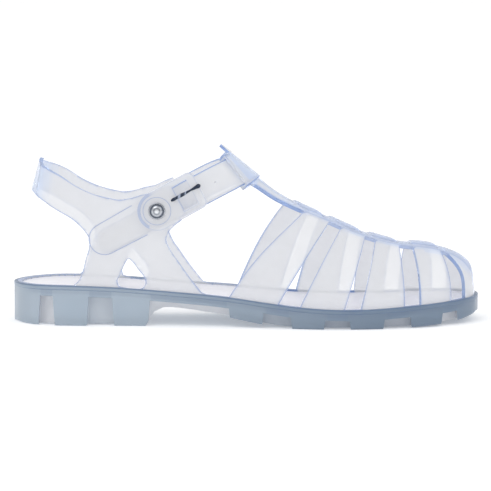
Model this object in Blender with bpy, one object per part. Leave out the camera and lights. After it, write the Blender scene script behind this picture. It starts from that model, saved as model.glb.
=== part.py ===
"""Jelly sandal, right shoe: toe towards +X, inner side of the foot towards +Y, standing on Z = 0."""
import math

import bmesh
import bpy
import numpy as np
from mathutils import Vector
from mathutils.geometry import delaunay_2d_cdt

MM = 0.001

# Driving dimensions of the sole
LENGTH = 253.4 * MM
BALL_WIDTH = 94.0 * MM
HEEL_WIDTH = 60.6 * MM
HEEL_RIM = 21.7 * MM
TOE_SPRING = 5.0 * MM
ARCH_RISE = 9.1 * MM
LIP_HEIGHT = 2.0 * MM
LIP_PROUD = 0.5 * MM
EDGE_CHAMFER = 1.0 * MM
SIDE_BAND = 5.8 * MM
SIDE_RECESS = 6.0 * MM
LUG_HEIGHT = 1.6 * MM
RIM_WIDTH = 1.5 * MM
SEAT_DEPTH = 4.5 * MM
INSOLE_DROP = 0.9 * MM
INSOLE_GAP = 0.6 * MM

# Driving dimensions of the upper
WALL = 2.0 * MM
INSTEP_HEIGHT = 78.2 * MM
BACK_HEIGHT = 88.3 * MM
BACK_STRAP = 17.0 * MM
HEEL_LEAN = 13.0 * MM
ANKLE_EASE = 0.8 * MM
ARM_TAPER = 3.6 * MM
SPINE_WIDTH = 17.6 * MM
LINK_WIDTH = 6.4 * MM
LINK_RISE = 1.2 * MM
RAIL_WIDTH = 3.2 * MM
TBAR_WIDTH = 26.0 * MM

# Driving dimensions of the ankle strap, its loop and the buckle
STRAP_WIDTH = 17.0 * MM
STRAP_TIP_WIDTH = 13.4 * MM
STRAP_WALL = 1.8 * MM
STRAP_SLOPE = math.radians(28.6)
TBAR_SLOPE = math.radians(39.0)
LOOP_SPAN = 27.0 * MM
LOOP_FRONT = 1.5 * MM
LOOP_BACK = 1.5 * MM
LOOP_RAIL = 1.6 * MM
TIP_LENGTH = 7.4 * MM
TIP_WALL = 1.6 * MM
FRAME_WALL = 2.0 * MM
FRAME_RADIUS = 10.4 * MM
FRAME_REACH = 26.0 * MM
WINDOW_START = 12.9 * MM
WINDOW_LENGTH = 8.6 * MM
WINDOW_WIDTH = 14.6 * MM
STUD_RADIUS = 4.6 * MM
STUD_DOME = 2.4 * MM
SHANK_RADIUS = 1.6 * MM
PRONG_RADIUS = 0.9 * MM
PRONG_LENGTH = 19.5 * MM
PRONG_OFFSET = 1.2 * MM
PRONG_LEAD = 5.0 * MM
GAP = 0.3 * MM

# Plan of the sole: along is the share of LENGTH from the heel, outer and inner are shares of the half
# width there, which grows from the heel's to the ball's
SOLE_PLAN = (
    # along, outer, inner
    (0.027, 0.610, 0.610),
    (0.075, 0.915, 0.915),
    (0.137, 1.000, 1.000),
    (0.224, 1.005, 0.975),
    (0.322, 1.034, 0.905),
    (0.421, 0.997, 0.830),
    (0.500, 0.962, 0.830),
    (0.599, 0.961, 0.890),
    (0.678, 0.996, 0.968),
    (0.737, 0.985, 1.000),
    (0.816, 0.904, 0.962),
    (0.883, 0.770, 0.865),
    (0.934, 0.595, 0.735),
    (0.970, 0.400, 0.570),
    (0.992, 0.190, 0.370),
)
TOE_TIP_ACROSS = 0.090
WIDTH_BLEND = (0.30, 0.66)

# Side view of the sole: rim is the height of the rim's top as a share of HEEL_RIM
RIM_LINE = (
    # along, rim
    (0.000, 0.990),
    (0.110, 1.000),
    (0.224, 0.952),
    (0.329, 0.866),
    (0.466, 0.735),
    (0.540, 0.625),
    (0.614, 0.530),
    (0.745, 0.482),
    (0.830, 0.530),
    (0.917, 0.592),
    (1.000, 0.650),
)

# Underside: rise is a share of ARCH_RISE, spring is a share of TOE_SPRING
UNDER_LINE = (
    # along, rise, spring
    (0.290, 0.00, 0.00),
    (0.299, 0.52, 0.00),
    (0.312, 0.90, 0.00),
    (0.330, 1.00, 0.00),
    (0.364, 0.95, 0.00),
    (0.398, 0.83, 0.00),
    (0.466, 0.55, 0.00),
    (0.508, 0.33, 0.00),
    (0.571, 0.06, 0.00),
    (0.600, 0.00, 0.00),
    (0.790, 0.00, 0.00),
    (0.866, 0.00, 0.10),
    (0.917, 0.00, 0.26),
    (0.962, 0.00, 0.55),
    (1.000, 0.00, 1.00),
)

# Recesses in the side of the sole, as shares of LENGTH
SIDE_WINDOWS = (
    # start, end
    (0.060, 0.093),
    (0.163, 0.219),
    (0.293, 0.466),
    (0.533, 0.596),
    (0.662, 0.719),
    (0.787, 0.848),
    (0.912, 0.949),
)

# Top line of the upper over the foot: height of its outer face as a share of INSTEP_HEIGHT
TOP_LINE = (
    # along, height
    (0.440, 1.195),
    (0.523, 1.000),
    (0.555, 0.917),
    (0.589, 0.849),
    (0.620, 0.797),
    (0.652, 0.752),
    (0.680, 0.712),
    (0.710, 0.667),
    (0.744, 0.622),
    (0.779, 0.585),
    (0.813, 0.556),
    (0.848, 0.540),
    (0.882, 0.530),
    (0.917, 0.509),
    (0.945, 0.478),
    (0.968, 0.433),
    (0.982, 0.376),
)

# Pinch of the sections over the foot: 0 is an ellipse, more is a narrower ridge
PINCH_LINE = (
    # along, pinch
    (0.520, 0.02),
    (0.640, 0.24),
    (0.850, 0.28),
    (0.960, 0.22),
)

# Edges of the straps over the foot, from rear to front: foot_out and foot_in stand on the sole on the
# outer and inner side, top_out and top_in lie at the spine, bow_out and bow_in bend them (1 is straight)
STRAP_EDGES = (
    # foot_out, top_out, top_in, foot_in, bow_out, bow_in
    (0.464, 0.622, 0.586, 0.482, 1.0, 1.0),
    (0.568, 0.676, 0.634, 0.574, 1.0, 1.0),
    (0.613, 0.701, 0.659, 0.610, 1.0, 1.0),
    (0.706, 0.753, 0.724, 0.704, 1.0, 1.0),
    (0.740, 0.775, 0.750, 0.738, 1.0, 1.0),
    (0.832, 0.826, 0.814, 0.806, 2.0, 1.0),
    (0.866, 0.856, 0.842, 0.837, 2.5, 1.0),
    (0.932, 0.915, 0.896, 0.908, 3.0, 3.0),
    (0.963, 0.927, 0.917, 0.940, 5.0, 4.0),
)

# Outline of a quarter in side view: along is a share of LENGTH, up a share of BACK_HEIGHT
QUARTER_REAR = (
    (0.134, 0.243),
    (0.145, 0.272),
    (0.154, 0.332),
    (0.161, 0.410),
    (0.168, 0.481),
    (0.168, 0.531),
    (0.161, 0.567),
    (0.151, 0.602),
    (0.134, 0.646),
    (0.107, 0.692),
    (0.072, 0.755),
)
QUARTER_TOP = (
    (0.107, 0.912),
    (0.141, 0.849),
    (0.175, 0.804),
    (0.210, 0.777),
    (0.230, 0.767),
    (0.253, 0.775),
    (0.278, 0.796),
)
QUARTER_FRONT = (
    (0.405, 0.205),
    (0.381, 0.292),
    (0.354, 0.401),
    (0.338, 0.469),
    (0.331, 0.529),
    (0.335, 0.567),
    (0.347, 0.607),
    (0.364, 0.645),
)
TRIANGLE = (
    (0.230, 0.240),
    (0.227, 0.275),
    (0.234, 0.315),
    (0.244, 0.382),
    (0.251, 0.409),
    (0.261, 0.385),
    (0.272, 0.341),
    (0.285, 0.291),
    (0.287, 0.255),
    (0.281, 0.236),
)

# Places in side view, as shares of LENGTH and BACK_HEIGHT
STUD_PLACE = (0.3117, 0.702)
STRAP_PLACE = (0.289, 0.646)
STRAP_FRONT = (0.491, 0.941)
STRAP_TAIL_START = 0.185

# Shares of LENGTH on the ankle strap: where it stops being narrow, where it has its full width, and
# where it ends on the inner quarter
STRAP_NARROW_TO = 0.290
STRAP_WIDE_FROM = 0.375
STRAP_END = 0.325
STRAP_ARC_START = 0.400

# Tongue above the loop: up is a share of TIP_LENGTH, half a share of half the T-bar's width
TIP_LINE = (
    # up, half
    (0.00, 0.615),
    (0.35, 0.570),
    (0.75, 0.430),
    (1.00, 0.185),
)

# Corners of the arm under the buckle, as shares of FRAME_RADIUS along and across it from the stud
ARM_CORNERS = (
    # along, across
    (1.202, -0.885),
    (1.202, 0.846),
    (0.192, 0.923),
)

# Mesh steps
RING_STEPS = 720
STATIONS = 56
PATTERN_STEP = 5.0 * MM
CORE_STATIONS = 36
WINDOW_STATIONS = 8
INSOLE_STATIONS = 44
FRAME_STEP = 4.5 * MM
TAIL_STEPS = 6
ARC_STEPS = 21
LOOP_STEPS = 9
HOLE_STEPS = 12
PRONG_STEPS = 9
PRONG_SIDES = 10
STUD_STEPS = 24
BAND_STEPS = 65
OPENING_STEPS = 14


def along(share):
    """World x of a share of the length from the heel."""
    return (share - 0.5) * LENGTH


def share_of(x):
    """Share of the length from the heel at world x."""
    return x / LENGTH + 0.5


def ease(value, start, end):
    """Smooth step from 0 at start to 1 at end."""
    t = np.clip((value - start) / (end - start), 0.0, 1.0)
    return t * t * (3.0 - 2.0 * t)


def through(xs, ys, x):
    """Smooth curve through the points xs, ys, flat beyond its ends."""
    xs, ys = np.asarray(xs, float), np.asarray(ys, float)
    x = np.clip(x, xs[0], xs[-1])
    slope = np.gradient(ys, xs)
    i = np.clip(np.searchsorted(xs, x) - 1, 0, len(xs) - 2)
    step = xs[i + 1] - xs[i]
    t = (x - xs[i]) / step
    a = ys[i] * (1 + 2 * t) * (1 - t) ** 2 + ys[i + 1] * t * t * (3 - 2 * t)
    return a + step * (slope[i] * t * (1 - t) ** 2 - slope[i + 1] * t * t * (1 - t))


def closed_curve(points, steps):
    """Closed smooth curve through points, as steps points evenly spaced along it."""
    points = np.array(points)
    n = len(points)
    fine = []
    for i in range(n):
        p0, p1, p2, p3 = points[i - 1], points[i], points[(i + 1) % n], points[(i + 2) % n]
        d01, d12, d23 = (math.sqrt(np.linalg.norm(b - a)) for a, b in ((p0, p1), (p1, p2), (p2, p3)))
        m1 = p2 - p1 + d12 * ((p1 - p0) / d01 - (p2 - p0) / (d01 + d12))
        m2 = p2 - p1 + d12 * ((p3 - p2) / d23 - (p3 - p1) / (d12 + d23))
        for t in np.linspace(0, 1, 24, endpoint=False):
            a = (1 + 2 * t) * (1 - t) ** 2 * p1 + t * t * (3 - 2 * t) * p2
            fine.append(a + t * (1 - t) ** 2 * m1 - t * t * (1 - t) * m2)
    return resample(np.array(fine), steps)


def resample(ring, steps):
    """The closed ring as steps points evenly spaced from its first point."""
    closed = np.vstack((ring, ring[:1]))
    run = np.concatenate(([0.0], np.cumsum(np.linalg.norm(np.diff(closed, axis=0), axis=1))))
    at = np.linspace(0, run[-1], steps, endpoint=False)
    return np.column_stack([np.interp(at, run, closed[:, k]) for k in range(ring.shape[1])])


def half_width(share):
    """Half width that the plan's shares follow at a share of the length."""
    return (HEEL_WIDTH + (BALL_WIDTH - HEEL_WIDTH) * ease(share, *WIDTH_BLEND)) / 2


def sole_ring():
    """Outline of the sole from the back of the heel along the outer side to the toe and back."""
    outer = [(along(a), -out * half_width(a)) for a, out, _ in SOLE_PLAN]
    inner = [(along(a), inn * half_width(a)) for a, _, inn in SOLE_PLAN]
    toe = (along(1.0), TOE_TIP_ACROSS * BALL_WIDTH / 2)
    return closed_curve([(along(0.0), 0.0), *outer, toe, *reversed(inner)], RING_STEPS)


SOLE_RING = sole_ring()


def inset_ring(inset):
    """The sole's outline moved inwards by inset."""
    tangent = np.roll(SOLE_RING, -1, axis=0) - np.roll(SOLE_RING, 1, axis=0)
    tangent /= np.linalg.norm(tangent, axis=1)[:, None]
    return SOLE_RING + inset * np.column_stack((-tangent[:, 1], tangent[:, 0]))


class Outline:
    """The sole's outline at one inset, asked by x or by distance round from the back of the heel."""

    def __init__(self, inset):
        ring = inset_ring(inset)
        toe = int(np.argmax(ring[:, 0]))
        heel = int(np.argmin(ring[:, 0]))
        ring = np.roll(ring, -heel, axis=0)
        toe = (toe - heel) % len(ring)
        self.outer = ring[: toe + 1]
        self.inner = np.vstack((ring[toe:], ring[:1]))[::-1]
        self.back, self.front = float(ring[0, 0]), float(ring[toe, 0])
        self.runs = {}
        for side, line in ((-1, self.outer), (1, self.inner)):
            steps = np.linalg.norm(np.diff(line, axis=0), axis=1)
            self.runs[side] = np.concatenate(([0.0], np.cumsum(steps)))

    def line(self, side):
        """Points from heel to toe on the outer side (-1) or the inner side (1)."""
        return self.outer if side < 0 else self.inner

    def y(self, x, side):
        """Edge's y at world x."""
        line = self.line(side)
        return float(np.interp(x, line[:, 0], line[:, 1]))

    def at(self, run):
        """Point and inward direction at a distance from the heel's back, outer side negative."""
        side = -1 if run < 0 else 1
        line, runs = self.line(side), self.runs[side]
        point = np.array([np.interp(abs(run), runs, line[:, k]) for k in (0, 1)])
        reach = 1.5 * MM
        ahead = np.array([np.interp(abs(run) + reach, runs, line[:, k]) for k in (0, 1)])
        behind_run = abs(run) - reach
        behind = np.array([np.interp(abs(behind_run), runs, line[:, k]) for k in (0, 1)])
        if behind_run < 0:
            behind[1] = -behind[1]
        tangent = (ahead - behind) / np.linalg.norm(ahead - behind)
        inward = np.array((tangent[1], -tangent[0])) * side
        return point, inward

    def run(self, x, side):
        """Signed distance round the outline to world x."""
        line = self.line(side)
        return side * float(np.interp(x, line[:, 0], self.runs[side]))


def rim_z(x):
    """Height of the rim's top at world x."""
    rows = np.array(RIM_LINE)
    return float(HEEL_RIM * through(rows[:, 0], rows[:, 1], share_of(x)))


def under_z(x):
    """Height of the underside at world x."""
    rows = np.array(UNDER_LINE)
    rise = through(rows[:, 0], rows[:, 1], share_of(x))
    spring = through(rows[:, 0], rows[:, 2], share_of(x))
    return float(max(0.0, ARCH_RISE * rise) + TOE_SPRING * max(0.0, spring))


UPPER_INSET = RIM_WIDTH + GAP + WALL / 2
BASE = Outline(UPPER_INSET)


def top_z(x):
    """Height of the wall's middle on the top line over the foot, closing down at the toe."""
    rows = np.array(TOP_LINE)
    xs = np.array([along(a) for a in rows[:, 0]])
    reach = np.sqrt(np.maximum(BASE.front - xs, 0.0))
    zs = rows[:, 1] * INSTEP_HEIGHT - WALL / 2
    front = rim_z(BASE.front)
    at = math.sqrt(max(BASE.front - x, 0.0))
    return float(through(np.concatenate(([0.0], reach[::-1])), np.concatenate(([front], zs[::-1])), at))


def vamp_point(x, v, lift=0.0):
    """Middle of the wall over the foot: v runs from -1 at the outer edge over 0 to 1 at the inner edge.

    Past -1 and 1 the wall goes straight down into the sole's seat.
    """
    side = -1 if v < 0 else 1
    edge = BASE.y(x, side)
    centre = (BASE.y(x, -1) + BASE.y(x, 1)) / 2
    foot = rim_z(x)
    if abs(v) >= 1.0:
        return Vector((x, edge, foot - (abs(v) - 1.0) * (SEAT_DEPTH - GAP)))
    angle = (1.0 - abs(v)) * math.pi / 2
    rows = np.array(PINCH_LINE)
    pinch = float(through(rows[:, 0], rows[:, 1], share_of(x)))
    across = math.cos(angle) * (1.0 - pinch * math.sin(angle) ** 2)
    z = foot + (top_z(x) + lift - foot) * math.sin(angle)
    return Vector((x, centre + (edge - centre) * across, z))


def spine_v(x, distance):
    """Share v at which the wall lies a distance from the spine's middle at world x."""
    vs = np.linspace(0.0, 1.0, 60)
    ys = [vamp_point(x, v).y - vamp_point(x, 0.0).y for v in vs]
    return float(np.interp(distance, ys, vs))


def wall_y(x, z, side):
    """Side wall's y at world x and height z, ahead of the heel's round back."""
    taper = ARM_TAPER * ease(x, along(0.30), along(0.42)) * ease(z, 0.25 * BACK_HEIGHT, 0.7 * BACK_HEIGHT)
    swell = ANKLE_EASE * ease(z, HEEL_RIM, 0.7 * BACK_HEIGHT)
    return BASE.y(x, side) + side * (swell - taper)


def quarter_point(run, z):
    """Middle of the quarter's wall at a distance round the outline and a height."""
    (x, y), inward = BASE.at(run)
    rise = max(0.0, z - HEEL_RIM) / (BACK_HEIGHT - HEEL_RIM)
    lean = HEEL_LEAN * rise ** 1.6 * max(0.0, inward[0]) ** 1.5
    side = -1 if run < 0 else 1
    px, py = x + inward[0] * lean, y + inward[1] * lean
    shift = wall_y(x, z, side) - BASE.y(x, side)
    return Vector((px, py + shift * (1.0 - abs(inward[0])), z))


def quarter_run(x, z, side):
    """Distance round the outline at which the quarter's wall has world x at height z."""
    runs = np.linspace(0.0, BASE.runs[side][-1] * 0.6, 160) * side
    xs = [quarter_point(r, z).x for r in runs]
    return float(np.interp(x, xs, runs))


def smooth_line(points, steps):
    """Open smooth curve through points, with steps parts between two of them."""
    points = np.array(points)
    run = np.concatenate(([0.0], np.cumsum(np.linalg.norm(np.diff(points, axis=0), axis=1))))
    at = np.interp(np.arange((len(points) - 1) * steps + 1) / steps, np.arange(len(points)), run)
    return [tuple(float(through(run, points[:, k], t)) for k in (0, 1)) for t in at]


def side_view(rows, side):
    """Rows of shares in side view as points of the quarter's flat pattern."""
    line = []
    for a, up in rows:
        z = up * BACK_HEIGHT
        line.append((quarter_run(along(a), z, side), z))
    return line


def inside(loop, x, y):
    """True if the point lies in the closed loop."""
    hit = False
    for (x0, y0), (x1, y1) in zip(loop, loop[1:] + loop[:1]):
        if (y0 > y) != (y1 > y) and x < (x1 - x0) * (y - y0) / (y1 - y0) + x0:
            hit = not hit
    return hit


def clear_of(loop, x, y, reach):
    """True if the point lies further than reach from every edge of the loop."""
    p = np.array((x, y))
    a = np.array(loop)
    b = np.roll(a, -1, axis=0)
    ab = b - a
    t = np.clip(((p - a) * ab).sum(1) / np.maximum((ab * ab).sum(1), 1e-18), 0, 1)
    return float(np.linalg.norm(a + ab * t[:, None] - p, axis=1).min()) > reach


def flat_triangles(outer, holes, step):
    """Triangles of a flat outline with holes, with inner points on a grid of step."""
    points, edges = [], []
    for loop in (outer, *holes):
        first = len(points)
        points.extend(loop)
        edges.extend((first + i, first + (i + 1) % len(loop)) for i in range(len(loop)))
    low, high = np.min(outer, axis=0), np.max(outer, axis=0)
    for i, u in enumerate(np.arange(low[0] + step / 2, high[0], step)):
        for v in np.arange(low[1] + step / 2 * (i % 2), high[1], step):
            if inside(outer, u, v) and not any(inside(h, u, v) for h in holes):
                if all(clear_of(loop, u, v, step * 0.5) for loop in (outer, *holes)):
                    points.append((u, v))
    flat = [Vector(p) * 1000 for p in points]
    verts, _, faces, _, _, _ = delaunay_2d_cdt(flat, edges, [], 0, 1e-7)
    kept = []
    for face in faces:
        u, v = np.mean([verts[i] for i in face], axis=0) / 1000
        if inside(outer, u, v) and not any(inside(h, u, v) for h in holes):
            kept.append(face)
    return [tuple(v / 1000) for v in verts], kept


def add_patch(bm, points, faces):
    """Add faces over points to a mesh."""
    verts = [bm.verts.new(p) for p in points]
    for face in faces:
        corners = [verts[i] for i in face]
        if len(set(corners)) > 2:
            bm.faces.new(corners)


def new_object(name, bm, material):
    """Object with the mesh, round faces shaded smooth."""
    mesh = bpy.data.meshes.new(name)
    bmesh.ops.recalc_face_normals(bm, faces=bm.faces)
    bm.to_mesh(mesh)
    bm.free()
    mesh.shade_smooth()
    mesh.set_sharp_from_angle(angle=math.radians(35))
    obj = bpy.data.objects.new(name, mesh)
    bpy.context.scene.collection.objects.link(obj)
    if material is not None:
        mesh.materials.append(material)
    return obj


def loft(name, rings, material):
    """Closed solid through rings of the same number of points, with flat ends."""
    bm = bmesh.new()
    rows = [[bm.verts.new(p) for p in ring] for ring in rings]
    n = len(rows[0])
    for a, b in zip(rows, rows[1:]):
        for i in range(n):
            bm.faces.new((a[i], a[(i + 1) % n], b[(i + 1) % n], b[i]))
    bm.faces.new(rows[0])
    bm.faces.new(rows[-1])
    return new_object(name, bm, material)


def helper(obj):
    """Mark an object as a cutter or guide."""
    obj.hide_render = True
    obj.display_type = "WIRE"
    return obj


def combine(obj, other, operation):
    """Boolean of an object with a helper."""
    modifier = obj.modifiers.new(operation.title(), "BOOLEAN")
    modifier.operation = operation
    modifier.solver = "EXACT"
    modifier.object = helper(other)


def make_material(name, colour, roughness, metallic=0.0):
    """Principled material."""
    material = bpy.data.materials.new(name)
    material.use_nodes = True
    shader = material.node_tree.nodes["Principled BSDF"]
    shader.inputs["Base Color"].default_value = (*colour, 1.0)
    shader.inputs["Roughness"].default_value = roughness
    shader.inputs["Metallic"].default_value = metallic
    material.diffuse_color = (*colour, 1.0)
    return material


def stations(outline, count):
    """World x values from heel to toe, close together at the round ends."""
    turns = np.linspace(0.035, math.pi - 0.035, count)
    middle, half = (outline.front + outline.back) / 2, (outline.front - outline.back) / 2
    return [middle - half * math.cos(t) for t in turns]


def slab(name, inset, low, high, material, count=STATIONS, lip=False):
    """Solid with the sole's plan, between two heights that follow its length."""
    outline = Outline(inset)
    step = Outline(inset + LIP_PROUD)
    foot = Outline(inset + LIP_PROUD + EDGE_CHAMFER)
    rings = []
    for x in stations(outline, count):
        bottom, top = low(x), high(x)
        if not lip:
            corners = ((-1, bottom), (1, bottom), (1, top), (-1, top))
            rings.append([(x, outline.y(x, s), z) for s, z in corners])
            continue
        narrow = (outline.y(x, 1) - outline.y(x, -1)) / 2
        ring = []
        for side in (-1, 1):
            y, y_step, y_foot = (o.y(x, side) for o in (outline, step, foot))
            y_step = y - side * min(abs(y - y_step), 0.3 * narrow)
            y_foot = y - side * min(abs(y - y_foot), 0.6 * narrow)
            heights = (bottom, bottom + EDGE_CHAMFER, top - LIP_HEIGHT - LIP_PROUD, top - LIP_HEIGHT, top)
            edge = list(zip((y_foot, y_step, y_step, y, y), heights))
            ring.extend(edge[::-1] if side < 0 else edge)
        rings.append([(x, y, z) for y, z in ring])
    return loft(name, rings, material)


def window_solid(name, start, end):
    """Cutter of one recess: all round its stretch but for the core that stays."""
    rings = []
    reach = BALL_WIDTH
    for a in np.linspace(start, end, WINDOW_STATIONS):
        x = along(a)
        top = rim_z(x) - SIDE_BAND
        corners = ((-1, -reach), (1, -reach), (1, top), (-1, top))
        rings.append([(x, s * reach, z) for s, z in corners])
    solid = loft(name, rings, None)
    core = slab(name + "_core", SIDE_RECESS, lambda x: under_z(x) + LUG_HEIGHT, lambda x: BACK_HEIGHT, None,
                CORE_STATIONS)
    combine(solid, core, "DIFFERENCE")
    return solid


def make_sole(material):
    """Outsole with rim, seat, side recesses and main lugs."""
    sole = slab("sole", 0.0, under_z, rim_z, material, lip=True)
    seat = slab("seat_cutter", RIM_WIDTH, lambda x: rim_z(x) - SEAT_DEPTH, lambda x: BACK_HEIGHT, None)
    combine(sole, seat, "DIFFERENCE")
    for i, (start, end) in enumerate(SIDE_WINDOWS):
        combine(sole, window_solid(f"window_{i}", start, end), "DIFFERENCE")
    return sole


def make_insole(material):
    """Footbed inside the upper's lower band."""
    inset = RIM_WIDTH + GAP + WALL + INSOLE_GAP
    return slab("insole", inset, lambda x: rim_z(x) - SEAT_DEPTH + GAP, lambda x: rim_z(x) - INSOLE_DROP,
                material, INSOLE_STATIONS)


FOOT_ROWS = 6
SPINE_ROWS = 7
SPINE_LINKS = (2, 3, 4)
SPINE_SLOTS = (1, 4)
LOWER_BAND = 2.0
SPINE_FIT = 0.55
TOE_CLOSE = 0.999999
SLOT_COLUMNS = (1, 3, 5, 7)
STRAP_COLUMNS = (0, 2, 4, 6)
COLUMN_STEPS = (3, 1, 3, 1, 3, 1, 3, 1, 7)
TBAR_STEPS = 6


def spine_shares(x):
    """Shares v of the spine's rails, slots and link at world x, from the outer to the inner edge."""
    narrow = (BASE.y(x, 1) - BASE.y(x, -1)) / 2
    fit = min(1.0, SPINE_FIT * narrow / (SPINE_WIDTH / 2))
    widths = (SPINE_WIDTH / 2, SPINE_WIDTH / 2 - RAIL_WIDTH, LINK_WIDTH / 2)
    if narrow < WALL:
        parts = [SPINE_FIT * w / widths[0] for w in widths]
    else:
        parts = [spine_v(x, w * fit) for w in widths]
    return [-parts[0], -parts[1], -parts[2], 0.0, parts[2], parts[1], parts[0]]


def column_line(place):
    """Rows (v, x, in_link) of one line across the foot; place counts the edges of the straps."""
    index = min(int(place), len(STRAP_EDGES) - 1)
    part = place - index
    here = STRAP_EDGES[index]
    if index == len(STRAP_EDGES) - 1:
        front = share_of(BASE.front)
        blend = 1.0 - (1.0 - part) ** 2
        row = [h + (front - h) * blend for h in here[:4]] + list(here[4:])
    else:
        row = [h + (n - h) * part for h, n in zip(here, STRAP_EDGES[index + 1])]
    x_top = along((row[1] + row[2]) / 2)
    spine = spine_shares(x_top)
    vs = spine[-1]
    side = [1.0 - (1.0 - vs) * k / FOOT_ROWS for k in range(FOOT_ROWS)]
    shares = [-LOWER_BAND, *[-v for v in side], *spine, *side[::-1], LOWER_BAND]
    return [(v, strap_edge_x(row, v, vs)) for v in shares]


def strap_edge_x(row, v, vs):
    """World x of a strap's edge at share v, with the spine's edge at vs."""
    foot_out, top_out, top_in, foot_in, bow_out, bow_in = row
    if abs(v) <= vs:
        return along(top_out + (top_in - top_out) * (v + vs) / (2 * vs))
    foot, top, bow = (foot_out, top_out, bow_out) if v < 0 else (foot_in, top_in, bow_in)
    rise = math.sin((1 - min(1.0, abs(v))) * math.pi / 2) / math.sin((1 - vs) * math.pi / 2)
    return along(foot + (top - foot) * rise ** bow)


def strap_line_z(x):
    """Height of the ankle strap's middle line beside the ankle."""
    return STRAP_PLACE[1] * BACK_HEIGHT + (x - along(STRAP_PLACE[0])) * math.tan(STRAP_SLOPE)


ARC_START = along(STRAP_ARC_START)
FRONT_X = along(STRAP_FRONT[0])
FRONT_DIP = strap_line_z(FRONT_X) - STRAP_FRONT[1] * BACK_HEIGHT
TAIL_INSET = WALL / 2 + GAP + STRAP_WALL / 2


def strap_middle(t):
    """Middle of the ankle strap: t below 0 is beside the outer quarter, then 0 to pi goes round the front."""
    turn = min(max(t, 0.0), math.pi)
    past = t - turn
    x = ARC_START + (FRONT_X - ARC_START) * math.sin(turn) - abs(past) * BALL_WIDTH / 2
    z = strap_line_z(x) - FRONT_DIP * math.sin(turn) ** 2
    z_side = strap_line_z(min(x, ARC_START))
    outer = wall_y(min(x, ARC_START), z_side, -1) + TAIL_INSET
    inner = wall_y(min(x, ARC_START), z_side, 1)
    y = (outer + inner) / 2 - (inner - outer) / 2 * math.cos(turn)
    return Vector((x, y, z))


def strap_frame(t):
    """Middle, direction across the strap and outward normal at t."""
    tangent = (strap_middle(t + 0.01) - strap_middle(t - 0.01)).normalized()
    turn = min(max(t, 0.0), math.pi)
    lean = STRAP_SLOPE + (math.pi / 2 - TBAR_SLOPE - STRAP_SLOPE) * math.sin(turn)
    across = Vector((-math.sin(lean), 0.0, math.cos(lean)))
    across = (across - tangent * across.dot(tangent)).normalized()
    return strap_middle(t), across, tangent.cross(across).normalized()


def strap_t(x):
    """Value of t on the outer side at which the strap's middle has world x."""
    return -(ARC_START - x) / (BALL_WIDTH / 2)


def band_ring(t, low, high, inner, outer):
    """Rectangle across the strap's path: from low to high across it, inner to outer along its normal."""
    middle, across, normal = strap_frame(t)
    corners = ((low, inner), (high, inner), (high, outer), (low, outer))
    return [middle + across * b + normal * n for b, n in corners]


def make_strap():
    """Ankle strap from its round end inside the outer quarter to the inner quarter."""
    tip = STRAP_TIP_WIDTH / 2
    start = along(STRAP_TAIL_START)
    rings = []
    for turn in np.linspace(0.12, math.pi / 2, TAIL_STEPS):
        half = tip * math.sin(turn)
        x = start + tip * (1 - math.cos(turn)) * math.cos(STRAP_SLOPE)
        rings.append(band_ring(strap_t(x), -half, half, -STRAP_WALL / 2, STRAP_WALL / 2))
    wide = strap_t(along(STRAP_WIDE_FROM))
    for t in np.linspace(strap_t(start + tip), wide, TAIL_STEPS + 1)[1:]:
        half = tip + (STRAP_WIDTH / 2 - tip) * ease(t, strap_t(along(STRAP_NARROW_TO)), wide)
        rings.append(band_ring(t, -half, half, -STRAP_WALL / 2, STRAP_WALL / 2))
    end = math.pi + (ARC_START - along(STRAP_END)) / (BALL_WIDTH / 2)
    half = STRAP_WIDTH / 2
    arc = np.linspace(0.0, math.pi, ARC_STEPS + 1)[1:]
    for t in [*np.linspace(wide, 0.0, 3)[1:], *arc, *np.linspace(math.pi, end, 4)[1:]]:
        rings.append(band_ring(t, -half, half, -STRAP_WALL / 2, STRAP_WALL / 2))
    return loft("strap_guide", rings, None)


def make_loop():
    """Solid of the T-bar's loop and its slot's cutter."""
    sweep = math.asin(LOOP_SPAN / 2 / wall_y(ARC_START, strap_line_z(ARC_START), 1))
    half = STRAP_WIDTH / 2 + GAP
    wall = STRAP_WALL / 2 + GAP
    turns = np.linspace(math.pi / 2 - sweep, math.pi / 2 + sweep, LOOP_STEPS)
    body = loft("loop_guide", [band_ring(t, -half - LOOP_RAIL, half + LOOP_RAIL, -wall - LOOP_BACK,
                                         wall + LOOP_FRONT) for t in turns], None)
    overrun = 1.3
    longer = np.linspace(math.pi / 2 - sweep * overrun, math.pi / 2 + sweep * overrun, LOOP_STEPS + 4)
    slot = loft("slot_cutter", [band_ring(t, -half, half, -wall, wall) for t in longer], None)
    return body, slot


def make_tip():
    """Tongue above the loop."""
    middle, across, normal = strap_frame(math.pi / 2)
    start = STRAP_WIDTH / 2 + GAP + LOOP_RAIL / 2
    level = STRAP_WALL / 2 + GAP + LOOP_FRONT * 0.5
    rings = []
    thick = TIP_WALL / 2
    for part, share in TIP_LINE:
        half = share * TBAR_WIDTH / 2
        base = middle + across * (start + TIP_LENGTH * part)
        rings.append([base + Vector((0, s * half, 0)) + normal * (level + n * thick)
                      for s, n in ((-1, -1), (1, -1), (1, 1), (-1, 1))])
    return loft("tip_guide", rings, None)


def rail_x(y):
    """World x of the middle of the loop's lower rail at a distance across the spine."""
    best = []
    low = -(STRAP_WIDTH / 2 + GAP + LOOP_RAIL / 2)
    for t in np.linspace(0.6, math.pi - 0.6, 41):
        middle, across, normal = strap_frame(t)
        point = middle + across * low + normal * (LOOP_FRONT * 0.5)
        best.append((point.y, point.x))
    ys, xs = zip(*best)
    return float(np.interp(y, ys, xs))


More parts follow.
